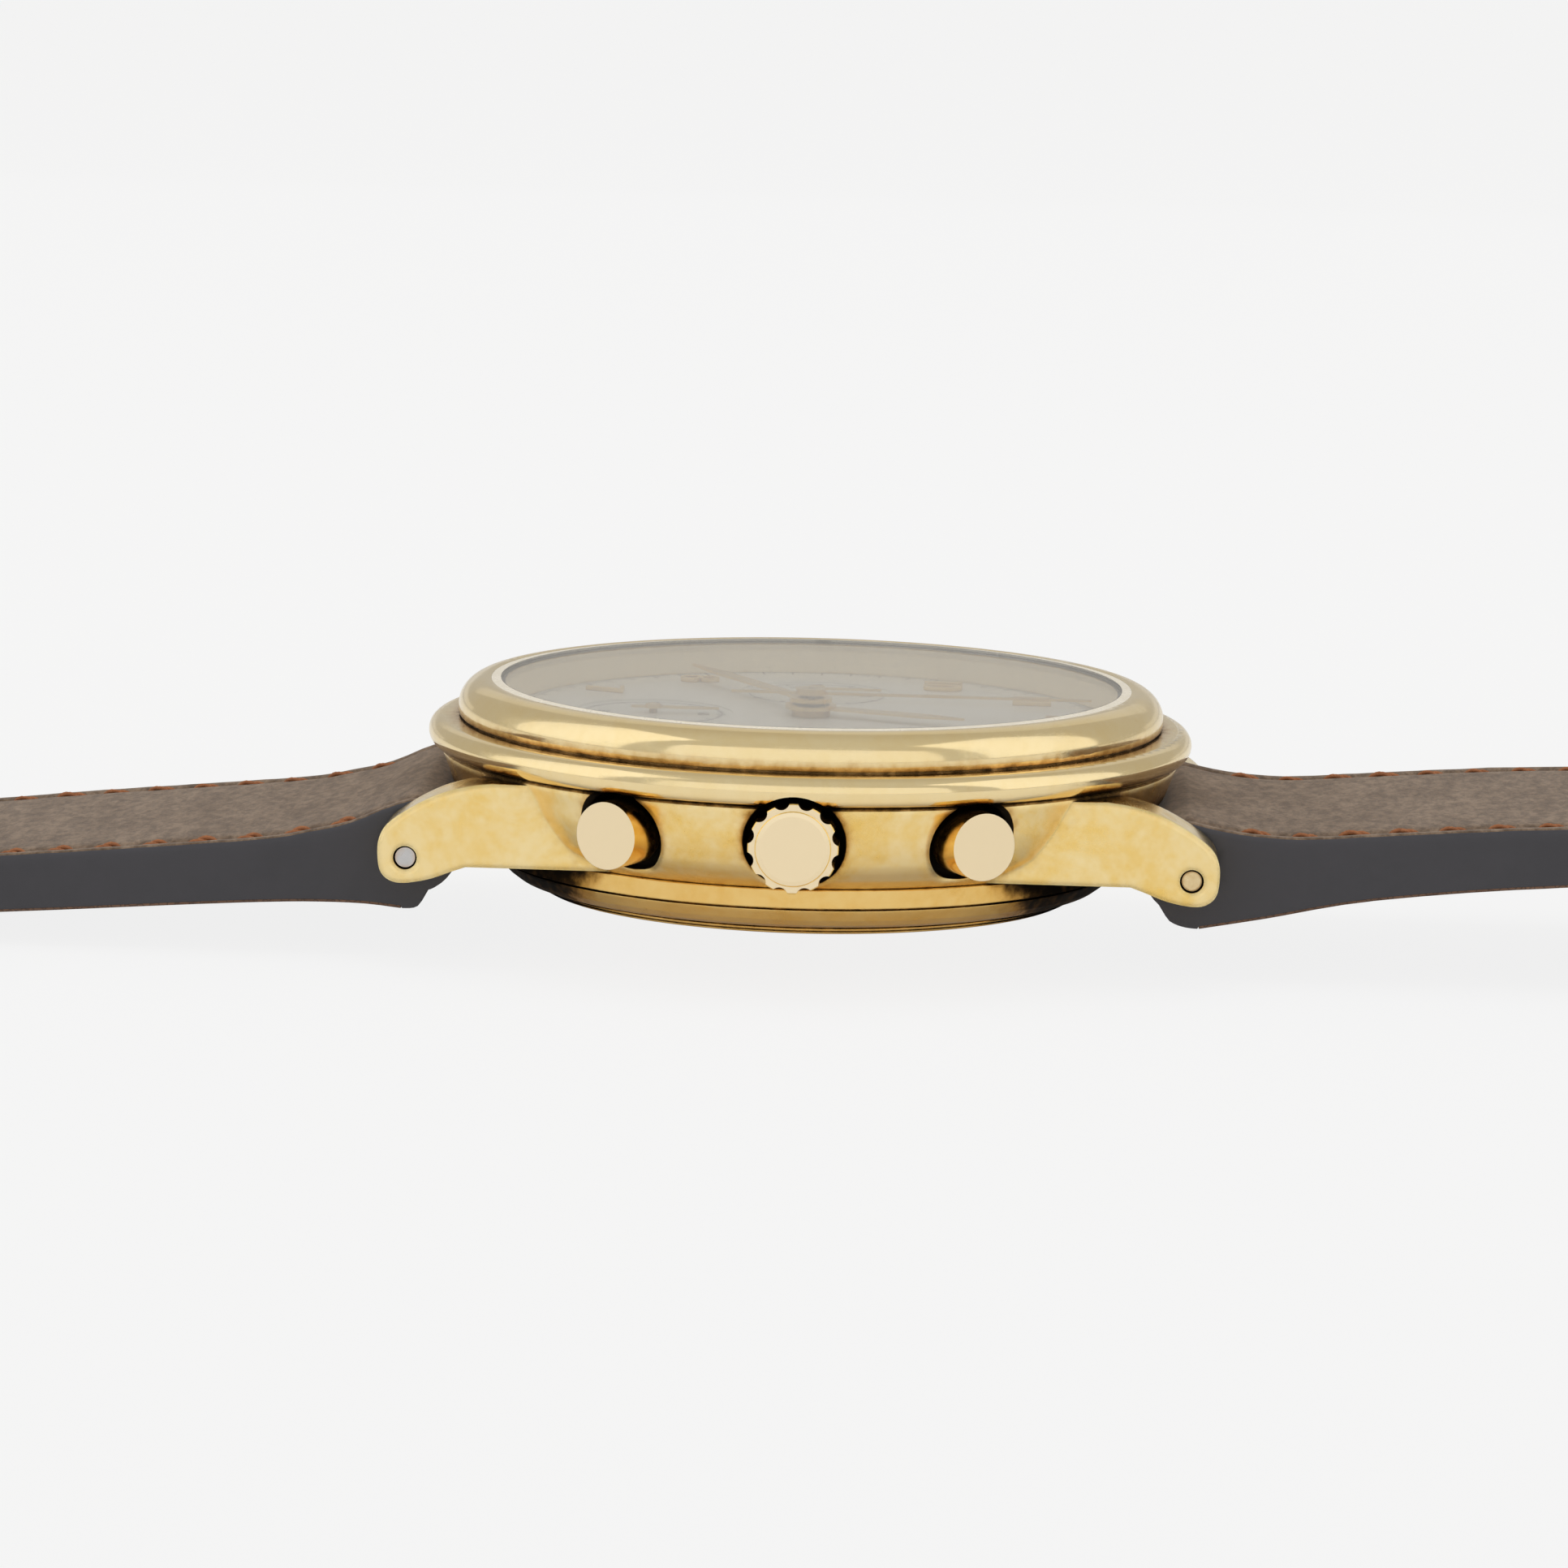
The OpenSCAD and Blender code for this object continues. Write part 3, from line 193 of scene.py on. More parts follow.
def new_group(kind, name, inputs, outputs=("Mask",)):
    """A node group from inputs {name: default}, where None is a geometry: its tree, inputs and end node."""
    tree = bpy.data.node_groups.new(name, kind)
    for label, default in inputs.items():
        socket = tree.interface.new_socket(label, in_out="INPUT", socket_type=SOCKET_KINDS[type(default)])
        if default is not None:
            socket.default_value = default
    for label in outputs:
        socket_kind = "NodeSocketGeometry" if label == "Geometry" else "NodeSocketFloat"
        tree.interface.new_socket(label, in_out="OUTPUT", socket_type=socket_kind)
    return tree, tree.nodes.new("NodeGroupInput").outputs, tree.nodes.new("NodeGroupOutput")


def use(tree, group, **inputs):
    """Places a node group in a material's tree. Names write a space as an underscore."""
    made = put(tree, "ShaderNodeGroup", node_tree=group)
    fill(made, {key.replace("_", " "): value for key, value in inputs.items()})
    return made.outputs


print("group helpers ready")

# %% [markdown]
# ## Shared effects
# Age shows on a watch in a few ways that return on many pieces: hairline scratches on polished metal,
# cloudy tarnish on flat sides, grime in seams that also serves as painted shade where neighbours close a
# surface in, and bright rims where edges rub, which are partly wear and partly a painted highlight. Each is
# one shader group that puts out a mask, and each material decides what that mask does. All read Object
# coordinates, which are metres here, so a scale of 1000 makes features about a millimetre large.

# %% Hairline scratches
def make_scratches():
    """Thin lines in three directions: a narrow band around the middle value of a stretched noise."""
    tree, given, end = new_group("ShaderNodeTree", "hairline scratches", {"Scale": 900.0, "Width": 0.02})
    place = here(tree)
    worn = ramp(tree, noise_at(tree, place, 260.0, 2.0), 0.42, 0.68)
    lines = 0.0
    for turn in ((0.3, 0.2, 0.5), (1.2, 0.7, 2.1), (2.0, 1.9, 1.1)):
        turned = put(tree, "ShaderNodeMapping", {"Vector": place, "Rotation": turn, "Scale": (1, 14, 14)})
        grain = noise_at(tree, turned, given["Scale"], 0.0)
        off = calc(tree, "ABSOLUTE", calc(tree, "SUBTRACT", grain, 0.5))
        thin = calc(tree, "SUBTRACT", 1.0, ramp(tree, off, 0.0, given["Width"]))
        lines = calc(tree, "MAXIMUM", lines, thin)
    fill(end, {"Mask": calc(tree, "MULTIPLY", lines, worn)})
    return tree


scratches = make_scratches()
print(scratches.name, len(scratches.nodes), "nodes")

# %% Cloudy tarnish
def make_clouds():
    """Soft blotches of two sizes, for tarnish and uneven dye."""
    tree, given, end = new_group("ShaderNodeTree", "clouds", {"Scale": 350.0, "Low": 0.35, "High": 0.7})
    place = here(tree)
    broad = noise_at(tree, place, given["Scale"], 4.0, roughness=0.6, distortion=0.8)
    fine = noise_at(tree, place, calc(tree, "MULTIPLY", given["Scale"], 6.0), 3.0)
    both = calc(tree, "MULTIPLY_ADD", fine, 0.3, calc(tree, "MULTIPLY", broad, 0.7))
    fill(end, {"Mask": ramp(tree, both, given["Low"], given["High"])})
    return tree


clouds = make_clouds()
print(clouds.name, len(clouds.nodes), "nodes")

# %% Grime and painted shade in seams, and rubbed rims with a painted highlight
def make_seam_shade_and_dirt():
    """Where a surface is closed in by its neighbours, broken up by noise, as a value and as a mask."""
    tree, given, end = new_group(
        "ShaderNodeTree", "seam shade and dirt", {"Reach": 0.0005, "Low": 0.35, "High": 0.8}, ("Mask", "Closed"))
    # ambient occlusion: a closed-in place is darker, which stands for grime in seams and for the shade that falls
    # there
    open_sky = put(tree, "ShaderNodeAmbientOcclusion", {"Distance": given["Reach"]}, samples=6)
    depth = calc(tree, "SUBTRACT", 1.0, open_sky.outputs["AO"])
    speckle = calc(tree, "SUBTRACT", noise_at(tree, here(tree), 1800.0, 3.0), 0.5)
    broken = calc(tree, "MULTIPLY_ADD", speckle, 0.55, depth)
    fill(end, {"Mask": ramp(tree, broken, given["Low"], given["High"]), "Closed": broken})
    return tree


def make_rims():
    """Bright rims, partly wear and partly a painted highlight: the rounded normal differs from the true one only
    beside an edge.
    """
    tree, given, end = new_group(
        "ShaderNodeTree", "rim wear and painted highlight", {"Radius": 0.00012, "Low": 0.02, "High": 0.2})
    rounded = put(tree, "ShaderNodeBevel", {"Radius": given["Radius"]}, samples=4)
    true = put(tree, "ShaderNodeNewGeometry").outputs["Normal"]
    off = calc(tree, "SUBTRACT", 1.0, vector_calc(tree, "DOT_PRODUCT", rounded, true))
    fill(end, {"Mask": ramp(tree, off, given["Low"], given["High"])})
    return tree


seam_shade_and_dirt = make_seam_shade_and_dirt()
rims = make_rims()
print(seam_shade_and_dirt.name, "and", rims.name)

# %% [markdown]
# ## Leather effects
# Nubuck is leather sanded on its grain side, so it has a short nap: no pores, but a fine fuzz that
# catches light, and strokes where a finger has laid it over. A fine noise makes the fuzz, and a slower,
# stretched noise makes the strokes. The painted edges instead carry small specks of dust.

# %% Nap and specks
def make_nap():
    """The nap's height and its darker and paler strokes."""
    tree, given, end = new_group(
        "ShaderNodeTree", "nubuck nap", {"Fuzz": 5200.0, "Strokes": 420.0}, ("Height", "Shade"))
    flat = here(tree)
    place = put(tree, "ShaderNodeMapping", {"Vector": flat, "Scale": (0.55, 1.0, 1.0)})
    laid = put(tree, "ShaderNodeMapping", {"Vector": flat, "Scale": (0.5, 1.0, 1.0)})
    fuzz = noise_at(tree, place, given["Fuzz"], 5.0, roughness=0.65)
    medium = noise_at(tree, place, 1900.0, 3.0)
    strokes = noise_at(tree, laid, given["Strokes"], 5.0, roughness=0.6, distortion=0.5)
    shade = calc(tree, "MULTIPLY_ADD", medium, 0.35, calc(tree, "MULTIPLY", strokes, 0.65))
    height = calc(tree, "MULTIPLY_ADD", fuzz, 0.6, calc(tree, "MULTIPLY", medium, 0.4))
    fill(end, {"Height": height, "Shade": ramp(tree, shade, 0.33, 0.67)})
    return tree


def make_specks():
    """Sparse small specks: the middles of a few Voronoi cells."""
    tree, given, end = new_group("ShaderNodeTree", "specks", {"Scale": 900.0, "Size": 0.06})
    place = here(tree)
    cells = put(tree, "ShaderNodeTexVoronoi", {"Vector": place, "Scale": given["Scale"]})
    few = ramp(tree, noise_at(tree, place, 300.0, 2.0), 0.5, 0.62)
    spot = calc(tree, "SUBTRACT", 1.0, ramp(tree, cells.outputs["Distance"], 0.0, given["Size"]))
    fill(end, {"Mask": calc(tree, "MULTIPLY", spot, few)})
    return tree


nap = make_nap()
specks = make_specks()
print(nap.name, "and", specks.name)

# %% [markdown]
# ## Metals
# Polished gold is nearly a coloured mirror, so most of its look is what it reflects. What sells it as
# worn gold is what breaks the mirror: hairlines that widen the highlights, a cloudy film that is deeper
# in colour and duller, and brown grime in the seams, which together with the stain and black where a place
# is closed in is also painted shade. One function makes every metal of the watch, and takes the colours and
# the amount of each kind of wear and of painted shade.

# %% Where painted shade lies
RIM_FADE = 0.06 * MM
HALO_FADE = 0.7 * MM
HALO_DARKENING = 0.22


def painted_shade_by_lugs(tree, radius, start, full):
    """Painted shade outside a radius, which grows from start to full on the way to the strap's ends."""
    place = here(tree)
    along = vector_calc(tree, "LENGTH", vector_calc(tree, "MULTIPLY", place, (0, 1, 0)))
    outwards = vector_calc(tree, "LENGTH", vector_calc(tree, "MULTIPLY", place, (1, 1, 0)))
    beyond = ramp(tree, outwards, radius, radius * 1.02)
    return calc(tree, "MULTIPLY", calc(tree, "MULTIPLY", ramp(tree, along, start, full), beyond), 0.95)


def hollow_shade(tree, point, axis, radius, depth):
    """Painted shade of a depth in a round recess about an axis, and a brown halo outside its rim."""
    place = here(tree)
    arm = vector_calc(tree, "SUBTRACT", place, tuple(point))
    away = vector_calc(tree, "LENGTH", vector_calc(tree, "CROSS_PRODUCT", arm, tuple(axis)))
    front = calc(tree, "GREATER_THAN", vector_calc(tree, "DOT_PRODUCT", place, tuple(axis)), 0.0)
    inside = ramp(tree, away, radius, radius + RIM_FADE, depth, 0.0)
    halo = ramp(tree, away, radius, radius + HALO_FADE, HALO_DARKENING, 0.0)
    return calc(tree, "MULTIPLY", front, calc(tree, "ADD", inside, halo))


print("a halo of", round(HALO_FADE / MM, 2), "mm round each recess")

# %% Metal maker
STAIN_AND_SHADE = (0.60, 0.30, 0.05)
SHADE_BLACK = (0.008, 0.006, 0.004)
# how far a place is closed in where each of the three depths of grime and painted shade starts and is full
STAIN_AND_SHADE_RANGE, DIRT_AND_SHADE_RANGE, SHADE_BLACK_RANGE = (0.12, 0.5), (0.42, 0.72), (0.66, 0.86)


def new_material(name, slot):
    """An empty material with a Principled shader. Its slot is the record's name for the finish."""
    made = bpy.data.materials.new(name)
    made.use_nodes = True
    made["slot"] = slot
    return made, made.node_tree, made.node_tree.nodes["Principled BSDF"]


def metal(name, slot, bright, deep, rough=0.1, film=0.5, film_rough=0.12, cloud_scale=350.0,
          hairlines=0.1, dirt_and_shade=(0.085, 0.045, 0.016), dirt_and_shade_reach=0.45, less_dirt_and_shade=0.0, rim=0.4, soft_edge=0.0,
          metallic=1.0, brushed=None, beside_lugs=None, hollows=()):
    """A worn metal. film is how far the clouds go to the deep colour. The nearer its neighbours close it
    in, the more it goes through the stain to the dirt and to black: stain and dirt are partly real and partly
    painted shade, black is painted shade, and less_dirt_and_shade holds that back. soft_edge, in millimetres,
    rounds its edges in the light. beside_lugs and hollows are the inputs of painted_shade_by_lugs and of each
    hollow_shade, which add painted shade. brushed is (axis, colour, roughness) for faces that look along an
    axis and are satin, as a pusher's cap is."""
    made, tree, shader = new_material(name, slot)
    cloud = use(tree, clouds, Scale=cloud_scale)[0]
    lines = use(tree, scratches)[0]
    # closed: how far neighbours close a place in; the layers below paint dirt and shade by it
    closed = calc(tree, "SUBTRACT", use(tree, seam_shade_and_dirt, Reach=dirt_and_shade_reach * MM)["Closed"], less_dirt_and_shade)
    # painted shade on the case back's ends, under the lugs
    if beside_lugs:
        closed = calc(tree, "ADD", closed, painted_shade_by_lugs(tree, *beside_lugs))
    # painted shade in the recesses round the crown and pushers, with a brown halo
    for hollow in hollows:
        closed = calc(tree, "ADD", closed, hollow_shade(tree, *hollow))
    dirt_and_shade_mask = ramp(tree, closed, *DIRT_AND_SHADE_RANGE)
    colour = blend_colour(tree, calc(tree, "MULTIPLY", cloud, film), bright, deep)
    roughness = calc(tree, "MULTIPLY_ADD", cloud, film_rough, rough)
    # bright rims on the edges: partly wear, partly a painted highlight
    rim_wear_and_highlight = calc(tree, "MULTIPLY", use(tree, rims)[0], rim)
    colour = blend_colour(tree, rim_wear_and_highlight, colour, tuple(min(1, v * 1.15 + 0.08) for v in bright))
    if brushed:
        axis, cap, cap_rough = brushed
        normal = put(tree, "ShaderNodeTexCoord").outputs["Normal"]
        on_cap = ramp(tree, vector_calc(tree, "DOT_PRODUCT", normal, axis), 0.85, 0.95)
        colour = blend_colour(tree, on_cap, colour, cap)
        rise = calc(tree, "SUBTRACT", cap_rough, roughness)
        roughness = calc(tree, "MULTIPLY_ADD", on_cap, rise, roughness)
    # stain, dirt and black where a place is closed in: partly real grime, partly painted shade
    colour = blend_colour(tree, ramp(tree, closed, *STAIN_AND_SHADE_RANGE, 0.0, 0.8), colour, STAIN_AND_SHADE)
    colour = blend_colour(tree, dirt_and_shade_mask, colour, dirt_and_shade)
    colour = blend_colour(tree, ramp(tree, closed, *SHADE_BLACK_RANGE), colour, SHADE_BLACK)
    roughness = calc(tree, "MULTIPLY_ADD", lines, hairlines, roughness)
    roughness = calc(tree, "MULTIPLY_ADD", dirt_and_shade_mask, 0.4, roughness)
    height = calc(tree, "MULTIPLY_ADD", lines, -0.6, calc(tree, "MULTIPLY", cloud, 0.25))
    bump = relief(tree, 0.12, 0.02 * MM, height)
    if soft_edge:
        fill(bump, {"Normal": put(tree, "ShaderNodeBevel", {"Radius": soft_edge * MM}, samples=4)})
    fill(shader, {"Base Color": colour, "Roughness": roughness, "Metallic": metallic, "Normal": bump})
    return made


print("metal maker ready")

# %% Gold of the case, its knobs and the dial work
RECESS_GAP = {"crown": 0.3, "start_pusher": 0.4, "reset_pusher": 0.4}  # from a knob to its recess, in mm
# how deep the painted shade in each knob's recess is
HOLLOW_SHADE = {"crown": 0.35, "start_pusher": 0.6, "reset_pusher": 0.6}
knob_axis, hollows = {}, []
for knob, gap in RECESS_GAP.items():
    low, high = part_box(knob)
    middle = (low + high) / 2
    knob_axis[knob] = Vector((1, 0, 0)) if knob == "crown" else Vector((middle.x, middle.y, 0)).normalized()
    hollows.append((middle, knob_axis[knob], (high.z - low.z) / 2 + gap * MM, HOLLOW_SHADE[knob]))
case_gold = metal("case gold", "gold", (0.99, 0.80, 0.42), (0.93, 0.62, 0.15), rough=0.13, film=0.85,
                  cloud_scale=280.0, film_rough=0.16, dirt_and_shade_reach=1.3, soft_edge=0.5, hollows=hollows)
bezel_gold = metal("bezel gold", "gold", (0.96, 0.79, 0.46), (0.92, 0.70, 0.32), rough=0.08, film=0.4,
                   film_rough=0.05, hairlines=0.16, dirt_and_shade_reach=0.85, less_dirt_and_shade=-0.04)
# the case back is painted darker towards its ends, as shade under the lugs
back_gold = metal("case back gold", "gold", (0.92, 0.64, 0.24), (0.84, 0.49, 0.11), rough=0.17, film=0.8,
                  cloud_scale=260.0, dirt_and_shade_reach=1.2, less_dirt_and_shade=0.15, soft_edge=0.08,
                  beside_lugs=(13.15 * MM, 8.0 * MM, 12.0 * MM))
buckle_gold = metal("buckle gold", "gold", (0.95, 0.75, 0.42), (0.86, 0.62, 0.25), rough=0.1, film=0.4,
                    hairlines=0.2)
hand_gold = metal("hand gold", "gold_trim", (0.88, 0.66, 0.34), (0.72, 0.48, 0.20), rough=0.12, film=0.3,
                  hairlines=0.03, rim=0.2, dirt_and_shade_reach=0.1)
flange_gold = metal("flange satin gold", "flange", (1.0, 0.86, 0.60), (0.97, 0.79, 0.50), rough=0.27,
                    film=0.4, hairlines=0.03, rim=0.2, dirt_and_shade_reach=0.2, metallic=0.1)
rotor_gold = metal("rotor gold", "rotor_gold", (0.84, 0.64, 0.32), (0.70, 0.48, 0.20), rough=0.22,
                   film=0.4, hairlines=0.2)
knob_gold = {
    knob: metal(knob.replace("_", " ") + " gold", "gold", (0.98, 0.68, 0.24), (0.88, 0.52, 0.10),
                rough=0.12, film=0.6, rim=0.6, dirt_and_shade_reach=1.0, soft_edge=0.05,
                brushed=(tuple(axis), (0.98, 0.82, 0.55), 0.3))
    for knob, axis in knob_axis.items()}
print("knob axes:", {k: [round(c, 3) for c in v] for k, v in knob_axis.items()})

# %% Metals of the movement
steel = metal("fine brushed steel", "steel", (0.62, 0.62, 0.63), (0.50, 0.50, 0.52), rough=0.24, film=0.4,
              hairlines=0.2, dirt_and_shade=(0.06, 0.05, 0.045))
plate = metal("rhodium plate", "plate", (0.72, 0.72, 0.71), (0.60, 0.60, 0.60), rough=0.26, film=0.5,
              cloud_scale=700.0, dirt_and_shade=(0.08, 0.07, 0.06))
worn_tip = metal("worn gilt steel", "steel", (0.86, 0.70, 0.42), (0.70, 0.50, 0.24), rough=0.26, film=0.7,
                 cloud_scale=1200.0, soft_edge=0.15)
brass = metal("grained brass", "wheel_brass", (0.80, 0.62, 0.32), (0.66, 0.47, 0.20), rough=0.24, film=0.4)
blued = metal("blued steel", "blued_steel", (0.05, 0.10, 0.36), (0.10, 0.06, 0.24), rough=0.14, film=0.6,
              dirt_and_shade=(0.02, 0.02, 0.03))
print("movement metals ready")

# %% [markdown]
# ## Crystal, gasket, ruby and dial
# The crystal is glass, and light has to reach the dial through it. Bent light from lamps is slow to find,
# so rays that only ask whether a lamp is in sight go straight through: a Light Path node mixes in a
# Transparent shader for them. The dial is silvered: a satin lacquer with a very fine grain, and
# concentric cuts in the three small dials, which are rings around each small hand's axis.

# %% Crystal, gasket and ruby
def make_crystal():
    """Clear glass with faint scratches, which lamps shine through."""
    made, tree, shader = new_material("crystal", "sapphire")
    lines = use(tree, scratches, Scale=500.0)[0]
    fill(shader, {"Base Color": (0.985, 0.99, 0.985, 1), "Roughness": 0.0, "IOR": 1.6,
                  "Transmission Weight": 1.0, "Specular IOR Level": 0.15,
                  "Normal": relief(tree, 0.01, 0.002 * MM, lines)})
    clear = put(tree, "ShaderNodeBsdfTransparent")
    lamp_ray = put(tree, "ShaderNodeLightPath").outputs["Is Shadow Ray"]
    mix = put(tree, "ShaderNodeMixShader", {0: lamp_ray, 1: shader, 2: clear})
    fill(tree.nodes["Material Output"], {"Surface": mix})
    return made


def matt(name, slot, pale, dark, rough=0.5, scale=900.0, bump_mm=0.02, coat=0.0):
    """A lacquer, rubber, stone or dyed surface: two close colours in clouds, and a fine bump."""
    made, tree, shader = new_material(name, slot)
    cloud = use(tree, clouds, Scale=scale)[0]
    fill(shader, {"Base Color": blend_colour(tree, cloud, pale, dark),
                  "Roughness": calc(tree, "MULTIPLY_ADD", cloud, 0.12, rough),
                  "Normal": relief(tree, 0.4, bump_mm * MM, cloud), "Coat Weight": coat})
    return made


crystal = make_crystal()
rubber = matt("gasket rubber", "gasket", (0.05, 0.05, 0.05), (0.03, 0.03, 0.03))
# pale gasket: a painted highlight, so that the crystal's edge shows a bright line
pale_gasket_highlight = matt("pale gasket highlight", "gasket", (0.80, 0.74, 0.62), (0.70, 0.64, 0.52), rough=0.25)
ruby = matt("ruby", "ruby", (0.55, 0.02, 0.10), (0.40, 0.01, 0.06), rough=0.08, coat=0.6)
dial_print = matt("dial print", "dial_silver", (0.06, 0.06, 0.065), (0.09, 0.09, 0.09))
print("crystal, rubber, ruby and print ready")

# %% Silvered dial
def joint_place(name):
    """Where a joint's axis stands, in metres."""
    return Vector(next(j["pos_m"] for j in frame["joints"] if j["name"] == name))


small_dials = [joint_place(n) for n in ("seconds_turn", "chrono_minutes_turn", "chrono_hours_turn")]
SMALL_R = 4.0 * MM
CUT_PITCH = 0.16 * MM


def make_dial():
    """A satin silvered lacquer, with round cuts in the small dials."""
    made, tree, shader = new_material("silvered dial", "dial_silver")
    place = here(tree)
    flat = vector_calc(tree, "MULTIPLY", place, (1, 1, 0))
    grain = noise_at(tree, place, 9000.0, 2.0)
    cloud = use(tree, clouds, Scale=120.0)[0]
    rings = 0.0
    inside = 0.0
    for centre in small_dials:
        away = vector_calc(tree, "DISTANCE", flat, (centre.x, centre.y, 0))
        within = calc(tree, "LESS_THAN", away, SMALL_R)
        wave = calc(tree, "SINE", calc(tree, "MULTIPLY", away, 2 * math.pi / CUT_PITCH))
        rings = calc(tree, "MULTIPLY_ADD", within, wave, rings)
        inside = calc(tree, "ADD", inside, within)
    base = blend_colour(tree, cloud, (0.86, 0.83, 0.76), (0.80, 0.77, 0.69))
    base = blend_colour(tree, calc(tree, "MULTIPLY", inside, 0.35), base, (0.72, 0.71, 0.67))
    height = calc(tree, "MULTIPLY_ADD", rings, 0.5, calc(tree, "MULTIPLY", grain, 0.25))
    fill(shader, {"Base Color": base, "Roughness": ramp(tree, grain, 0.3, 0.7, 0.3, 0.42),
                  "Metallic": 0.08, "Normal": relief(tree, 0.35, 0.02 * MM, height)})
    return made


silvered = make_dial()
print("small dials at", [[round(c / MM, 2) for c in p[:2]] for p in small_dials], "mm")

# %% [markdown]
# ## Leather, edge paint and thread
# The strap's top is nubuck, sanded until it is soft. Its cut edges are sealed with several coats of dark
# slate paint, which is smooth and a little shiny. The lining is smooth brown leather, and all of it is
# sewn with a waxed orange-brown thread of two plies.

# %% Leather materials
def make_nubuck():
    """A brown nap with strokes, and dirt and painted shade where its neighbours close it in."""
    made, tree, shader = new_material("nubuck", "strap_leather")
    fuzz = use(tree, nap)
    dirt_and_shade_mask = use(tree, seam_shade_and_dirt, Reach=0.9 * MM, Low=0.3, High=0.9)[0]
    colour = blend_colour(tree, fuzz["Shade"], (0.106, 0.067, 0.040), (0.175, 0.122, 0.082))
    fine = blend_colour(tree, ramp(tree, fuzz["Height"], 0.38, 0.62), (0.62, 0.59, 0.57), (1.22, 1.22, 1.22))
    colour = blend_colour(tree, 1.0, colour, fine, blend_type="MULTIPLY")
    # darker where closed in: dirt and painted shade
    colour = blend_colour(tree, calc(tree, "MULTIPLY", dirt_and_shade_mask, 0.7), colour, (0.075, 0.04, 0.024))
    fill(shader, {"Base Color": colour, "Roughness": 0.92, "Specular IOR Level": 0.25, "Sheen Weight": 0.35,
                  "Sheen Roughness": 0.45, "Sheen Tint": (0.85, 0.78, 0.72, 1),
                  "Normal": relief(tree, 0.7, 0.09 * MM, fuzz["Height"])})
    return made


def make_edge_paint():
    """Dark slate paint with a little dust, and black painted shade in the joints."""
    made, tree, shader = new_material("edge paint", "strap_leather")
    cloud = use(tree, clouds, Scale=160.0)[0]
    dust = calc(tree, "MULTIPLY", use(tree, specks)[0], 0.5)
    dirt_and_shade_mask = use(tree, seam_shade_and_dirt, Reach=1.1 * MM, Low=0.25, High=0.7)[0]
    colour = blend_colour(tree, cloud, (0.035, 0.034, 0.041), (0.045, 0.043, 0.051))
    colour = blend_colour(tree, dust, colour, (0.2, 0.19, 0.18))
    # near black in the joints: painted shade
    colour = blend_colour(tree, dirt_and_shade_mask, colour, (0.006, 0.006, 0.006))
    coats = noise_at(tree, here(tree), 500.0, 3.0)
    fill(shader, {"Base Color": colour, "Roughness": ramp(tree, cloud, 0.0, 1.0, 0.42, 0.58),
                  "Normal": relief(tree, 0.35, 0.12 * MM, coats)})
    return made


def make_lining():
    """Smooth brown leather with fine creases."""
    made, tree, shader = new_material("lining leather", "lining_leather")
    pores = put(tree, "ShaderNodeTexVoronoi", {"Vector": here(tree), "Scale": 2600.0},
                feature="DISTANCE_TO_EDGE")
    cloud = use(tree, clouds, Scale=200.0)[0]
    creases = ramp(tree, pores.outputs["Distance"], 0.0, 0.12)
    colour = blend_colour(tree, cloud, (0.17, 0.085, 0.045), (0.10, 0.052, 0.03))
    colour = blend_colour(tree, creases, (0.07, 0.035, 0.02), colour)
    fill(shader, {"Base Color": colour, "Roughness": ramp(tree, cloud, 0, 1, 0.5, 0.66),
                  "Normal": relief(tree, 0.4, 0.04 * MM, creases)})
    return made


nubuck = make_nubuck()
edge_paint = make_edge_paint()
lining_leather = make_lining()
thread = matt("waxed thread", "strap_leather", (0.34, 0.125, 0.042), (0.24, 0.08, 0.026), rough=0.6,
              scale=3000.0, bump_mm=0.03)
print("leather ready")

# %% [markdown]
# ## Finishing the CAD pieces
# A CAD node's mesh stays as it is: its material slots are simply filled. Most pieces take the finish
# that goes with their slot in the record, and a few outer ones have a finish of their own.

# %% Give every CAD piece its finish
SLOT_FINISH = {
    "gold": case_gold, "gold_trim": hand_gold, "rotor_gold": rotor_gold, "sapphire": crystal,
    "gasket": rubber, "flange": flange_gold, "dial_silver": silvered, "plate": plate, "steel": steel,
    "wheel_brass": brass, "blued_steel": blued, "ruby": ruby, "strap_leather": nubuck,
    "lining_leather": lining_leather}
OWN_FINISH = {"bezel": bezel_gold, "case_back": back_gold, "crystal_gasket": pale_gasket_highlight,
              "spring_bar_12": worn_tip, "buckle_frame": buckle_gold,
              "buckle_tongue": buckle_gold, "buckle_bar": buckle_gold, **knob_gold}
for part in frame["record"]["subparts"]:
    mesh = NODES[part["node"]].data
    mesh.materials.clear()
    mesh.materials.append(OWN_FINISH.get(part["node"], SLOT_FINISH[part["material_slot"]]))

# %% [markdown]
# ## From points to a piece
# The strap is a loft: the same outline is drawn at many stations along its length, and neighbouring
# outlines are joined by faces. A small helper turns the stations into one closed mesh.

# %% Loft helper
SOFT_ANGLE = math.radians(40)


def keep_mesh(name, bm, materials):
    """A mesh from a bmesh, which is freed."""
    mesh = bpy.data.meshes.new(name)
    bm.to_mesh(mesh)
    bm.free()
    for material in materials:
        mesh.materials.append(material)
    return mesh


def finish_piece(name, bm, materials, angle=SOFT_ANGLE):
    """A closed, smooth-shaded object from a bmesh."""
    bmesh.ops.remove_doubles(bm, verts=bm.verts, dist=1e-7)
    bmesh.ops.recalc_face_normals(bm, faces=bm.faces)
    mesh = keep_mesh(name, bm, materials)
    mesh.shade_smooth()
    mesh.set_sharp_from_angle(angle=angle)
    return new_object(name, mesh)


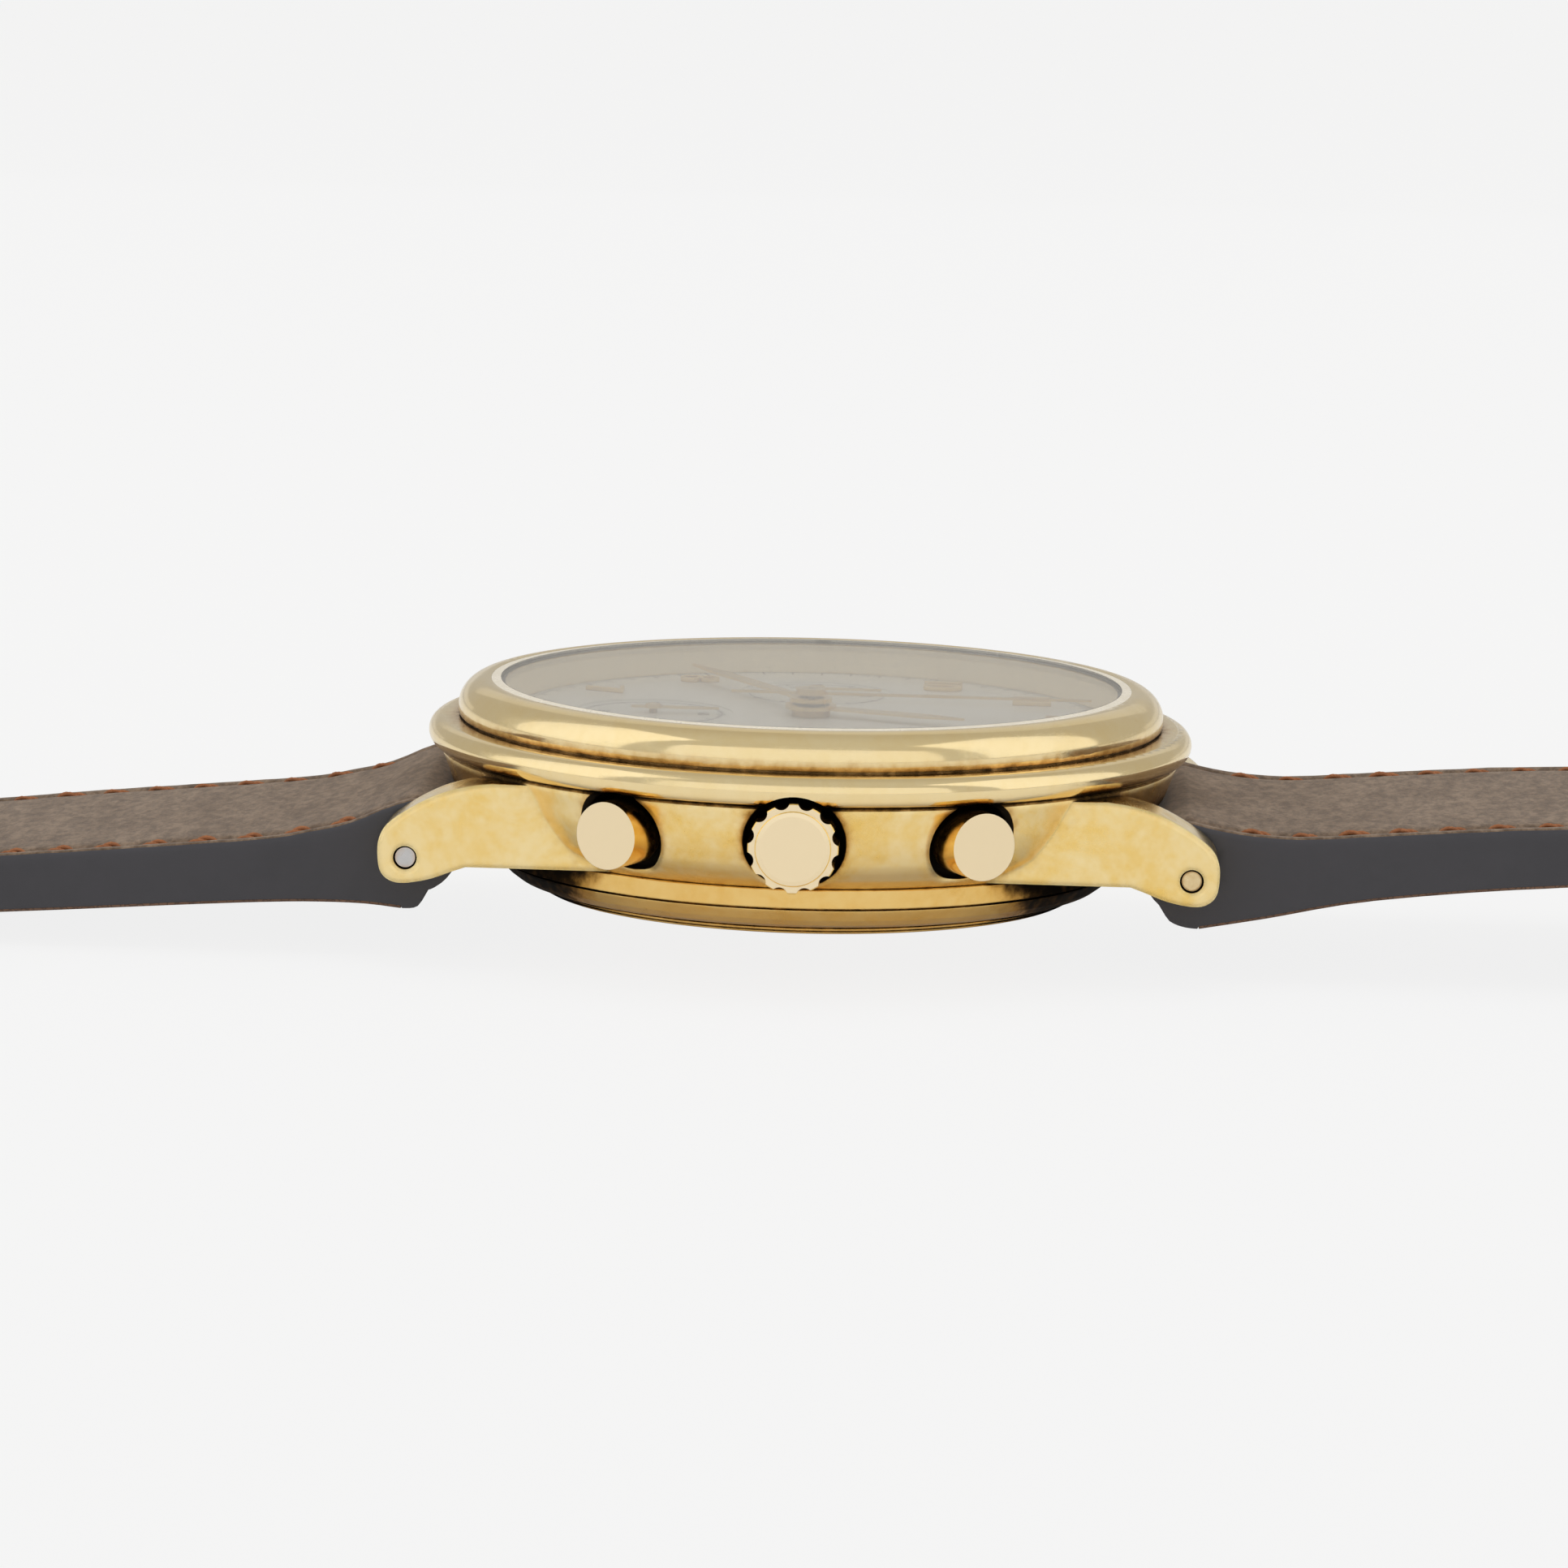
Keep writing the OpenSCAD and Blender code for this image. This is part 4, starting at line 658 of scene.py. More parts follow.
def loft(stations, paint, closed=False):
    """Faces between neighbouring rings of points. paint(station, side) gives a face's material number."""
    bm = bmesh.new()
    rings = [[bm.verts.new(p) for p in ring] for ring in stations]
    around = len(rings[0])
    for i in range(len(rings) if closed else len(rings) - 1):
        here_ring, next_ring = rings[i], rings[(i + 1) % len(rings)]
        for k in range(around):
            after = (k + 1) % around
            face = bm.faces.new((here_ring[k], here_ring[after], next_ring[after], next_ring[k]))
            face.material_index = paint(i, k)
    if not closed:
        for end in (rings[0], rings[-1]):
            bm.faces.new(end).material_index = paint(0, 0)
    return bm


def evaluated_mesh(piece):
    """A plain mesh of a piece as its modifiers shape it."""
    bpy.context.view_layer.update()
    graph = bpy.context.evaluated_depsgraph_get()
    return bpy.data.meshes.new_from_object(piece.evaluated_get(graph))


def cut(piece, cutters):
    """Takes cutters away from a piece, for good, and removes them."""
    for cutter in cutters:
        piece.modifiers.new("cut", "BOOLEAN").object = cutter
    shaped = evaluated_mesh(piece)
    piece.modifiers.clear()
    piece.data = shaped
    for cutter in cutters:
        bpy.data.objects.remove(cutter)
    piece.data.set_sharp_from_angle(angle=SOFT_ANGLE)


def rod(centre, radius, length, axis, sides=40):
    """A round cutter along X or Z."""
    bm = bmesh.new()
    bmesh.ops.create_cone(bm, cap_ends=True, segments=sides, radius1=radius, radius2=radius, depth=length)
    turn = Matrix.Rotation(math.pi / 2, 4, "Y") if axis == "X" else Matrix.Identity(4)
    bm.transform(Matrix.Translation(centre) @ turn)
    return finish_piece("cutter", bm, [])


print("loft helper ready")

# %% [markdown]
# ## The crystal's rim
# A real crystal has a narrow polished bevel where it meets its seat. Glass alone shows a dark line there,
# because it bends the view down into the gap. So a thin pale ring lies over the bevel and the gasket, a
# painted highlight in place of the bright line the bevel would show, and the gasket is painted pale for
# the same reason. It is one small section carried round in a circle, which is what a loft with its ends
# joined makes.

# %% Crystal rim
def make_crystal_rim_highlight():
    """A thin pale ring over the crystal's bevel and its gasket, a hair under the glass's top: a painted highlight.
    """
    glass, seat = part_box("crystal")[1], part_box("crystal_gasket")[1]
    inner, top, outer = glass.x - 0.19 * MM, glass.z - 0.006 * MM, seat.x - 0.005 * MM
    section = ((inner, top - 0.25 * MM), (inner, top), (outer, top - 0.045 * MM), (outer, top - 0.25 * MM))
    turns = [math.radians(2 * i) for i in range(180)]
    bm = loft([[(r * math.cos(a), r * math.sin(a), z) for r, z in section] for a in turns],
              lambda station, side: 0, closed=True)
    # the pale ring is a painted highlight over the crystal's bevel
    made = finish_piece("crystal_rim_highlight", bm, [pale_gasket_highlight], angle=math.radians(30))
    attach(made, "case")
    return made


print("crystal rim faces:", len(make_crystal_rim_highlight().data.polygons))

# %% [markdown]
# ## Measuring the strap's room
# The CAD strap is a plain solid with the right outline. Rather than copy its numbers, the lesson feels
# its surface: rays from above and below give its height at any place along it, and rays from the side
# give its width. The detailed strap then fits the CAD solid wherever that goes.

# %% Feel a CAD solid's surface
def surface_of(piece):
    """A search tree over an object's mesh."""
    bm = bmesh.new()
    bm.from_mesh(piece.data)
    tree = BVHTree.FromBMesh(bm)
    bm.free()
    return tree


def feel(tree, start, direction):
    """Where a ray first meets the surface, or None."""
    return tree.ray_cast(Vector(start), Vector(direction))[0]


ASIDE = 3 * MM  # beside the holes and the tongue's slot
FAR = 0.1
UP = (0, 0, 1)
DOWN = (0, 0, -1)
Section = namedtuple("Section", "half top under below lined")


def feel_section(leather, lining, y):
    """Half width, top, and undersides of leather and lining at one place, or None past the strap's end."""
    x = ASIDE if feel(leather, (ASIDE, y, FAR), DOWN) else ASIDE / 6
    top = feel(leather, (x, y, FAR), DOWN)
    if top is None:
        return None
    under = feel(leather, (x, y, -FAR), UP)
    below = feel(lining, (x, y, -FAR), UP)
    level = top.z - 0.2 * (top.z - under.z)
    side = feel(leather, (FAR, y, level), (-1, 0, 0))
    return Section(side.x, top.z, under.z, below.z if below else under.z, below is not None)


def stations_along(low, high, end_r, step):
    """Places from low to high: close together where the ends curve round, then evenly spaced."""
    turn = [end_r * (1 - math.cos(math.radians(a))) for a in range(5, 90, 9)]
    middle = high - low - 2 * end_r
    count = round(middle / step)
    return ([low + t for t in turn] + [low + end_r + middle * i / count for i in range(count + 1)]
            + [high - t for t in reversed(turn)])


print("measuring helpers ready")

# %% [markdown]
# ## The strap's outline
# Across its width the top is slightly crowned by the padding, dips where the thread pulls it down, and
# rolls over at the edges. Dark paint covers the edge from its roll down past the lining's side, and stops
# just above the bottom, where a thin brown line of lining stays bare. A little noise makes it hand made.

# %% One outline of the leather and of the lining
ROLL_R = 0.32 * MM
SEAM_IN = 1.08 * MM
PAINT_T = 0.15 * MM
BARE = 0.16 * MM
NARROW = 7.8 * MM  # half widths under this, at the tip, shrink the whole outline
# places of the top's points, in millimetres in from the edge: close at the roll and the seam
ACROSS = (0.0, 0.04, 0.12, 0.24, 0.36, 0.52, 0.68, 0.82, 0.95, 1.08, 1.22, 1.4, 1.7, 2.3, 3.2, 4.4, 5.8,
          7.4)


def top_dip(inward, share):
    """How far the top lies under its middle height. share is 0 at the edge and 1 at the middle."""
    edge = min(inward, ROLL_R)
    roll = ROLL_R - math.sqrt(max(0.0, ROLL_R ** 2 - (ROLL_R - edge) ** 2))
    seam = 0.15 * MM * math.exp(-((inward - SEAM_IN) / (0.3 * MM)) ** 2)
    crown = 0.04 * MM * (1 - (1 - share) ** 2)
    return roll + seam - crown + 0.03 * MM


def wobble(x, y, z, size):
    """A small smooth unevenness that is the same in every run."""
    return size * noise.noise(Vector((x, y, z)) * 900)


def leather_ring(y, half, top, under, below, lined):
    """The leather's outline at one station, from the middle of the top round to it again."""
    scale = min(1.0, half / NARROW)
    columns = [half - a * MM * scale for a in ACROSS] + [0.0]
    padding = min(1, (top - under) / MM)
    right_top = [
        (x, top - top_dip((half - x) / scale, 1 - x / half) * padding + wobble(x, y, 0, 0.02 * MM))
        for x in columns]
    foot = below + BARE * min(1, (top - below) / (2 * MM)) if lined else under + 0.03 * MM
    side_top = right_top[0][1]
    side = [(half + wobble(0, y, share, 0.035 * MM) * (1 - share ** 4),
             side_top + (foot - side_top) * share)
            for share in (0.16, 0.34, 0.52, 0.7, 0.86, 0.95, 1.0)]
    inner = (half - PAINT_T * scale, foot)
    lift = (half - PAINT_T * scale, under)
    right = list(reversed(right_top)) + side + [inner, lift, (half * 0.5, under)]
    left = [(-x, z) for x, z in reversed(right[1:])]
    return [(x, y, z) for x, z in right + [(0.0, under)] + left]


TOP_COUNT = len(ACROSS)
RING_COUNT = len(leather_ring(0, 9 * MM, 3 * MM, 0, -0.7 * MM, True))
print("an outline of", RING_COUNT, "points, of which the top half-width takes", TOP_COUNT + 1)

# %% Lining outline
def lining_ring(y, half, under, below):
    """The lining's outline: inside the paint above, flush with it in the thin bare line below."""
    scale = min(1.0, half / NARROW)
    inset = half - (PAINT_T + 0.01 * MM) * scale
    flush = half - 0.02 * MM * scale
    roof, shelf = under - 0.005 * MM, below + BARE - 0.01 * MM
    right = [(0.0, roof), (inset, roof), (inset, shelf), (flush, shelf), (flush, below + 0.07 * MM),
             (flush - 0.05 * MM * scale, below + 0.015 * MM), (flush - 0.2 * MM * scale, below),
             (half * 0.5, below)]
    left = [(-x, z) for x, z in reversed(right[1:])]
    return [(x, y, z) for x, z in right + [(0.0, below)] + left]


print("a lining outline of", len(lining_ring(0, 9 * MM, 0, -0.7 * MM)), "points")

# %% [markdown]
# ## Building both strap halves
# Each half is lofted between its nose at the case and its far end, then drilled: a tunnel for the spring
# bar, a second one and a slot for the buckle on the short half, and seven punched holes on the long one.
# Past the end of its lining the nose rolls down round the bar, along a curve with a length and a power.
# Both pieces of a half stand for their CAD solids and ride with the same body.

# %% Loft a strap half
NOSE_ROLL = {"6": 1.1 * MM, "12": 1.7 * MM}
NOSE_POWER = {"6": 4, "12": 2}
END_R = 2.3 * MM  # how round an end is seen from the side
STATION_STEP = 0.75 * MM
NOSE_STATIONS = (-0.04, 0.04, 0.2, 0.4, 0.6, 0.8, 1.0, 1.2, 1.4, 1.6)  # in mm past the lining's end


def strap_half(label, body, holes):
    """The leather and lining of one half. holes are (centre, radius, length, axis) of its round cuts."""
    leather_node, lining_node = "strap_" + label, "lining_" + label
    leather, lining = surface_of(NODES[leather_node]), surface_of(NODES[lining_node])
    low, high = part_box(leather_node)
    lining_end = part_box(lining_node)[1 if label == "6" else 0].y
    way = 1 if label == "6" else -1
    close = [lining_end + way * d * MM for d in NOSE_STATIONS]
    places = [y for y in stations_along(low.y, high.y, END_R, STATION_STEP)
              if min(abs(y - other) for other in close) > 0.08 * MM]
    outlines = [(y, feel_section(leather, lining, y)) for y in sorted(places + close)]
    outlines = [(y, found) for y, found in outlines if found]
    last_below = feel_section(leather, lining, close[0]).below
    for i, (y, found) in enumerate(outlines):
        share = way * (y - lining_end) / NOSE_ROLL[label]
        if 0 < share < 1:
            under = found.under - (found.under - last_below) * math.sqrt(1 - share ** NOSE_POWER[label])
            outlines[i] = (y, found._replace(under=under, below=under, lined=False))

    def paint(station, side):
        """Nubuck on the top, paint on the edge and under an unlined nose, lining leather below."""
        side = min(side, RING_COUNT - 1 - side)
        if side < TOP_COUNT - 2:
            return 0
        return 1 if side < TOP_COUNT + 8 or not outlines[station][1].lined else 2

    bm = loft([leather_ring(y, *found) for y, found in outlines], paint)
    upper = finish_piece("leather_" + label, bm, [nubuck, edge_paint, lining_leather])
    bm = loft([lining_ring(y, found.half, found.under, found.below) for y, found in outlines if found.lined],
              lambda station, side: 0)
    lower = finish_piece("lining_of_" + label, bm, [lining_leather])
    cut(upper, [rod(*hole) for hole in holes])
    punched = [rod(*hole) for hole in holes if hole[3] == "Z"]
    if punched:
        cut(lower, punched)
    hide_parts(leather_node)
    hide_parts(lining_node)
    for piece, slot in ((upper, "strap_leather"), (lower, "lining_leather")):
        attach(piece, body)
    return upper, lower


print("noses roll down over", [round(v / MM, 1) for v in NOSE_ROLL.values()], "mm")

# %% Both halves, drilled
bar_12, bar_6 = joint_place("strap_12_swing"), joint_place("strap_6_swing")
buckle_pin = joint_place("buckle_turn")
TUNNEL_R = 0.85 * MM
PIN_HOLE_R = 0.7 * MM
PUNCH_R = 0.95 * MM
PUNCH_PITCH = 6.5 * MM
THROUGH = 40 * MM  # longer than anything that it is drilled through
first_punch = bar_6.y - 49 * MM
punches = [(Vector((0, first_punch - i * PUNCH_PITCH, 0)), PUNCH_R, THROUGH / 2, "Z") for i in range(7)]
leather_6, lined_6 = strap_half("6", "strap_6_body", [(bar_6, TUNNEL_R, THROUGH, "X"), *punches])
leather_12, lined_12 = strap_half("12", "strap_12_body", [
    (bar_12, TUNNEL_R, THROUGH, "X"), (buckle_pin, PIN_HOLE_R, THROUGH, "X")])
print("leather faces:", len(leather_12.data.polygons), len(leather_6.data.polygons))

# %% Slot for the buckle's tongue
def slot_cutter(half_width, low_y, high_y):
    """A long block with a rounded inner end."""
    bm = bmesh.new()
    bmesh.ops.create_cube(bm, size=1)
    bm.transform(Matrix.Translation((0, (low_y + high_y) / 2, 0))
                 @ Matrix.Diagonal((2 * half_width, high_y - low_y, 20 * MM, 1)))
    rims = [e for e in bm.edges if all(v.co.y < low_y + 1e-6 for v in e.verts)
            and abs(e.verts[0].co.x - e.verts[1].co.x) < 1e-6]
    bmesh.ops.bevel(bm, geom=rims, offset=half_width * 0.8, segments=6, affect="EDGES", profile=0.5)
    return finish_piece("cutter", bm, [])


tongue_low, tongue_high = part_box("buckle_tongue")
slot_half = (tongue_high.x - tongue_low.x) / 2 + 0.3 * MM
cut(leather_12, [slot_cutter(slot_half, buckle_pin.y - 2.4 * MM, buckle_pin.y + 5 * MM)])
print("slot", round(2 * slot_half / MM, 2), "mm wide")

# %% [markdown]
# ## Keepers
# A keeper is a narrow band of the same leather, folded into a loop that holds the strap's long end down.
# Its outline is swept round a rectangle with round corners. Its place and slope are felt on the lining
# that it lies against, because both keepers sit on a part of the strap that slopes.

# %% Keeper loops
def round_rectangle(half_x, half_y, corner, step):
    """Points round a rectangle with round corners, each with its outward direction: (x, y, out_x, out_y)."""
    points = []
    for right, upper, start in ((1, 1, 0), (-1, 1, 90), (-1, -1, 180), (1, -1, 270)):
        for a in range(start, start + 91, step):
            out_x, out_y = math.cos(math.radians(a)), math.sin(math.radians(a))
            points.append((right * (half_x - corner) + corner * out_x,
                           upper * (half_y - corner) + corner * out_y, out_x, out_y))
    return points


KEEPER_WALL = 0.9 * MM
BAND_CORNER = 0.28 * MM  # on the band's own edges
LOOP_CORNER = 1.15 * MM  # where the band turns


def keeper(node, body):
    """A keeper's band, as wide and high as its CAD solid, on the slope of the lining above it."""
    low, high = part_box(node)
    centre, size = (low + high) / 2, high - low
    lining = surface_of(NODES["lining_12"])
    behind, ahead = (feel(lining, (ASIDE, centre.y + d, -FAR), UP) for d in (-2 * MM, 2 * MM))
    slope = math.atan2(ahead.z - behind.z, ahead.y - behind.y)
    c, s = math.cos(slope), abs(math.sin(slope))
    length = (size.y * c - size.z * s) / (c * c - s * s)
    height = (size.z * c - size.y * s) / (c * c - s * s)
    outline = round_rectangle(KEEPER_WALL / 2, length / 2, BAND_CORNER, 30)
    path = round_rectangle((size.x - KEEPER_WALL) / 2, (height - KEEPER_WALL) / 2, LOOP_CORNER, 10)

    def paint(station, side):
        """Edge paint on the band's corners and narrow sides, nubuck on the rest."""
        corner, step = divmod(side, len(outline) // 4)
        return 1 if step < 3 or corner in (0, 2) else 0

    rings = [[(x + out_x * t, y, z + out_z * t) for t, y, *_ in outline] for x, z, out_x, out_z in path]
    bm = loft(rings, paint, closed=True)
    bm.transform(Matrix.Translation(centre) @ Matrix.Rotation(slope, 4, "X"))
    made = finish_piece(node + "_band", bm, [nubuck, edge_paint])
    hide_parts(node)
    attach(made, body)
    print(node, "slopes", round(math.degrees(slope), 1), "degrees, length", round(length / MM, 2))


keeper("fixed_keeper", "strap_12_body")
keeper("free_keeper", "free_keeper_body")

# %% [markdown]
# ## Stitches
# Sewing repeats along a path, which is what Geometry Nodes are for. One tree walks along a line, sets a
# point at every pitch, turns each point along the line, and puts a stitch there: a short arc of thread
# whose two plies twist round each other and dive into the leather at both ends. The line itself is
# drawn on the finished leather by rays, so that the thread always lies on it.

# %% Tree that sews along a line
DIVE = 0.18 * MM  # how deep a stitch's ends go into the leather
TWIST = 5.0  # how far the plies turn round each other in one stitch, in radians


def xyz(tree, x=0.0, y=0.0, z=0.0):
    """A vector of three numbers."""
    return put(tree, "ShaderNodeCombineXYZ", {0: x, 1: y, 2: z})


def end_tree(tree, end, geometry, material):
    """The last nodes of a Geometry Nodes tree: real meshes, with their material."""
    real = put(tree, "GeometryNodeRealizeInstances", {"Geometry": geometry})
    fill(end, {"Geometry": put(tree, "GeometryNodeSetMaterial", {"Geometry": real, "Material": material})})
    return tree


def make_sewing():
    """Stitches on a line mesh. Side is 1 where they face up and -1 where they face down."""
    tree, given, end = new_group(
        "GeometryNodeTree", "sewing",
        {"Line": None, "Pitch": 2.33 * MM, "Stitch Length": 1.45 * MM, "Thread Radius": 0.21 * MM,
         "Rise": 0.19 * MM, "Side": 1.0, "Slant": 0.1, "Seed": 3}, ("Geometry",))
    line = put(tree, "GeometryNodeMeshToCurve", {"Mesh": given["Line"]})
    walk = put(tree, "GeometryNodeCurveToPoints", {"Curve": line, "Length": given["Pitch"]}, mode="LENGTH")
    along = put(tree, "FunctionNodeAlignRotationToVector", {"Vector": walk.outputs["Tangent"]}, axis="X")
    upright = put(tree, "FunctionNodeAlignRotationToVector", {
        "Rotation": along, "Vector": xyz(tree, z=given["Side"])}, axis="Z", pivot_axis="X")
    uneven = put(tree, "FunctionNodeRandomValue", {2: -0.12, 3: 0.12, "Seed": given["Seed"]}).outputs[1]
    slant = xyz(tree, z=calc(tree, "ADD", uneven, given["Slant"]))
    turned = put(tree, "FunctionNodeRotateRotation", {0: upright, 1: slant}, rotation_space="LOCAL")
    half = calc(tree, "MULTIPLY", given["Stitch Length"], 0.5)
    arc = put(tree, "GeometryNodeCurveQuadraticBezier", {
        "Resolution": 10, "Start": xyz(tree, calc(tree, "MULTIPLY", half, -1.0), z=-DIVE),
        "Middle": xyz(tree, z=calc(tree, "MULTIPLY", given["Rise"], 2.0)), "End": xyz(tree, half, z=-DIVE)})
    share = put(tree, "GeometryNodeSplineParameter").outputs["Factor"]
    twisted = put(tree, "GeometryNodeSetCurveTilt", {
        "Curve": arc, "Tilt": calc(tree, "MULTIPLY", share, TWIST)})
    ply = put(tree, "GeometryNodeCurvePrimitiveCircle", {
        "Resolution": 7, "Radius": calc(tree, "MULTIPLY", given["Thread Radius"], 0.62)})
    plies = put(tree, "GeometryNodeJoinGeometry")
    for way in (0.5, -0.5):
        offset = xyz(tree, calc(tree, "MULTIPLY", given["Thread Radius"], way))
        fill(plies, {0: put(tree, "GeometryNodeTransform", {"Geometry": ply, "Translation": offset})})
    stitch = put(tree, "GeometryNodeCurveToMesh", {
        "Curve": twisted, "Profile Curve": plies, "Fill Caps": True})
    size_seed = calc(tree, "ADD", given["Seed"], 1)
    size = put(tree, "FunctionNodeRandomValue", {2: 0.86, 3: 1.08, "Seed": size_seed}).outputs[1]
    placed = put(tree, "GeometryNodeInstanceOnPoints", {
        "Points": walk, "Instance": stitch, "Rotation": turned, "Scale": size})
    return end_tree(tree, end, placed, thread)


sewing = make_sewing()
print(sewing.name, len(sewing.nodes), "nodes")

# %% Run a tree and keep its mesh
def grow(name, tree, values, source=None, more=None):
    """A plain mesh object that a Geometry Nodes tree makes from named values, and from a source mesh."""
    seed = new_object(name, source or bpy.data.meshes.new(name))
    nodes = seed.modifiers.new("nodes", "NODES")
    nodes.node_group = tree
    named = {item.name: item.identifier for item in tree.interface.items_tree
             if item.item_type == "SOCKET" and item.in_out == "INPUT"}
    for key, value in values.items():
        nodes[named[key]] = value
    if more:
        more(seed)
    grown = evaluated_mesh(seed)
    bpy.data.objects.remove(seed)
    grown.shade_smooth()
    return new_object(name, grown)


def join(name, parts):
    """Several mesh objects as one."""
    bm = bmesh.new()
    materials = []
    for part in parts:
        own = next(m for m in part.data.materials if m)
        if own not in materials:
            materials.append(own)
        for face in part.data.polygons:
            face.material_index = materials.index(own)
        bm.from_mesh(part.data)
        bpy.data.objects.remove(part)
    return new_object(name, keep_mesh(name, bm, materials))


print("grow and join ready")

# %% Draw the seams
def seam(points, surface, above):
    """A line mesh through the places in points, laid on a surface from above or from below."""
    start, way = (FAR, DOWN) if above else (-FAR, UP)
    laid = [feel(surface, (x, y, start), way) for x, y in points]
    laid = [p for p in laid if p is not None]
    mesh = bpy.data.meshes.new("seam")
    mesh.from_pydata(laid, [(i, i + 1) for i in range(len(laid) - 1)], [])
    return mesh


def side_line(node, sign, start_y, end_y):
    """Places along one edge, the seam's distance in from it, half a millimetre apart."""
    solid = surface_of(NODES[node])
    count = round(abs(end_y - start_y) / (0.5 * MM))
    places = []
    for i in range(count + 1):
        y = start_y + (end_y - start_y) * i / count
        top = feel(solid, (ASIDE, y, FAR), DOWN)
        side = feel(solid, (FAR, y, top.z - 0.4 * MM), (-1, 0, 0))
        places.append((sign * (side.x - SEAM_IN), y))
    return places


tip_r = 8 * MM
tip_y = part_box("strap_6")[0].y + tip_r
tip_seam_r = tip_r - SEAM_IN
tip_turns = [math.radians(a) for a in range(4, 180, 4)]
round_tip = [(tip_seam_r * math.cos(a), tip_y - tip_seam_r * math.sin(a)) for a in tip_turns]
start_6 = bar_6.y - 3.4 * MM
line_6 = side_line("strap_6", 1, start_6, tip_y) + round_tip + side_line("strap_6", -1, start_6, tip_y)[::-1]
end_12 = buckle_pin.y - 4.5 * MM
lines_12 = [side_line("strap_12", sign, bar_12.y + 3.1 * MM, end_12) for sign in (1, -1)]
cross_12 = [(-5.5 * MM + 0.5 * MM * i, end_12 - 0.3 * MM) for i in range(23)]
print("seams of", len(line_6), "and", len(lines_12[0]), "places")

# %% Sew them
def sew(name, body, rows):
    """Sews rows of (places, surface, above, seed) and joins their stitches."""
    sewn = []
    for places, surface, above, seed in rows:
        values = {"Side": 1.0, "Slant": 0.1} if above else {"Side": -1.0, "Slant": -0.1, "Rise": -0.05 * MM}
        sewn.append(grow("row", sewing, {**values, "Seed": seed}, seam(places, surface, above)))
    made = join(name, sewn)
    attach(made, body)
    print(name, len(made.data.polygons), "faces")


top_6, base_6, top_12, base_12 = (surface_of(p) for p in (leather_6, lined_6, leather_12, lined_12))
sew("stitches_6", "strap_6_body", [(line_6, top_6, True, 5), (line_6, base_6, False, 6)])
sew("stitches_12", "strap_12_body",
    [(line, top_12, True, 11 + i) for i, line in enumerate(lines_12)]
    + [(line, base_12, False, 21 + i) for i, line in enumerate(lines_12)]
    + [(cross_12, top_12, True, 31)])

# %% [markdown]
# ## Numerals and printed scales
# The dial's numerals are thin gold castings, and its scales are printed. Both repeat round a circle.
# One kind of tree makes a raised number from a word, and stands it upright at an angle and a distance from
# a centre. Another sets marks round a circle, and draws the circle itself if it is asked to.

# %% Trees for a number
def make_number(name, material):
    """A raised number in a material, upright at an angle and a distance from a centre."""
    tree, given, end = new_group(
        "GeometryNodeTree", name,
        {"Word": "12", "Size": 2.4 * MM, "Depth": 0.2 * MM, "Distance": 12 * MM, "Angle": 90.0,
         "Centre X": 0.0, "Centre Y": 0.0, "Height": 0.0}, ("Geometry",))
    words = put(tree, "GeometryNodeStringToCurves", {"String": given["Word"], "Size": given["Size"]},
                align_x="CENTER", align_y="MIDDLE")
    real = put(tree, "GeometryNodeRealizeInstances", {"Geometry": words})
    filled = put(tree, "GeometryNodeFillCurve", {"Curve": real}, mode="NGONS")
    raised = put(tree, "GeometryNodeExtrudeMesh", {
        "Mesh": filled, "Offset Scale": given["Depth"], "Individual": False})
    whole = put(tree, "GeometryNodeJoinGeometry", {0: raised})
    fill(whole, {0: put(tree, "GeometryNodeFlipFaces", {"Mesh": filled})})
    merged = put(tree, "GeometryNodeMergeByDistance", {"Geometry": whole, "Distance": 1e-7})
    turn = calc(tree, "RADIANS", given["Angle"])
    x = calc(tree, "MULTIPLY_ADD", calc(tree, "COSINE", turn), given["Distance"], given["Centre X"])
    y = calc(tree, "MULTIPLY_ADD", calc(tree, "SINE", turn), given["Distance"], given["Centre Y"])
    placed = put(tree, "GeometryNodeTransform", {
        "Geometry": merged, "Translation": xyz(tree, x, y, given["Height"])})
    return end_tree(tree, end, placed, material)


applied_number = make_number("applied number", hand_gold)
printed_number = make_number("printed number", dial_print)
print(applied_number.name, len(applied_number.nodes), "nodes")

# %% Tree for a scale
INK_T = 0.02 * MM


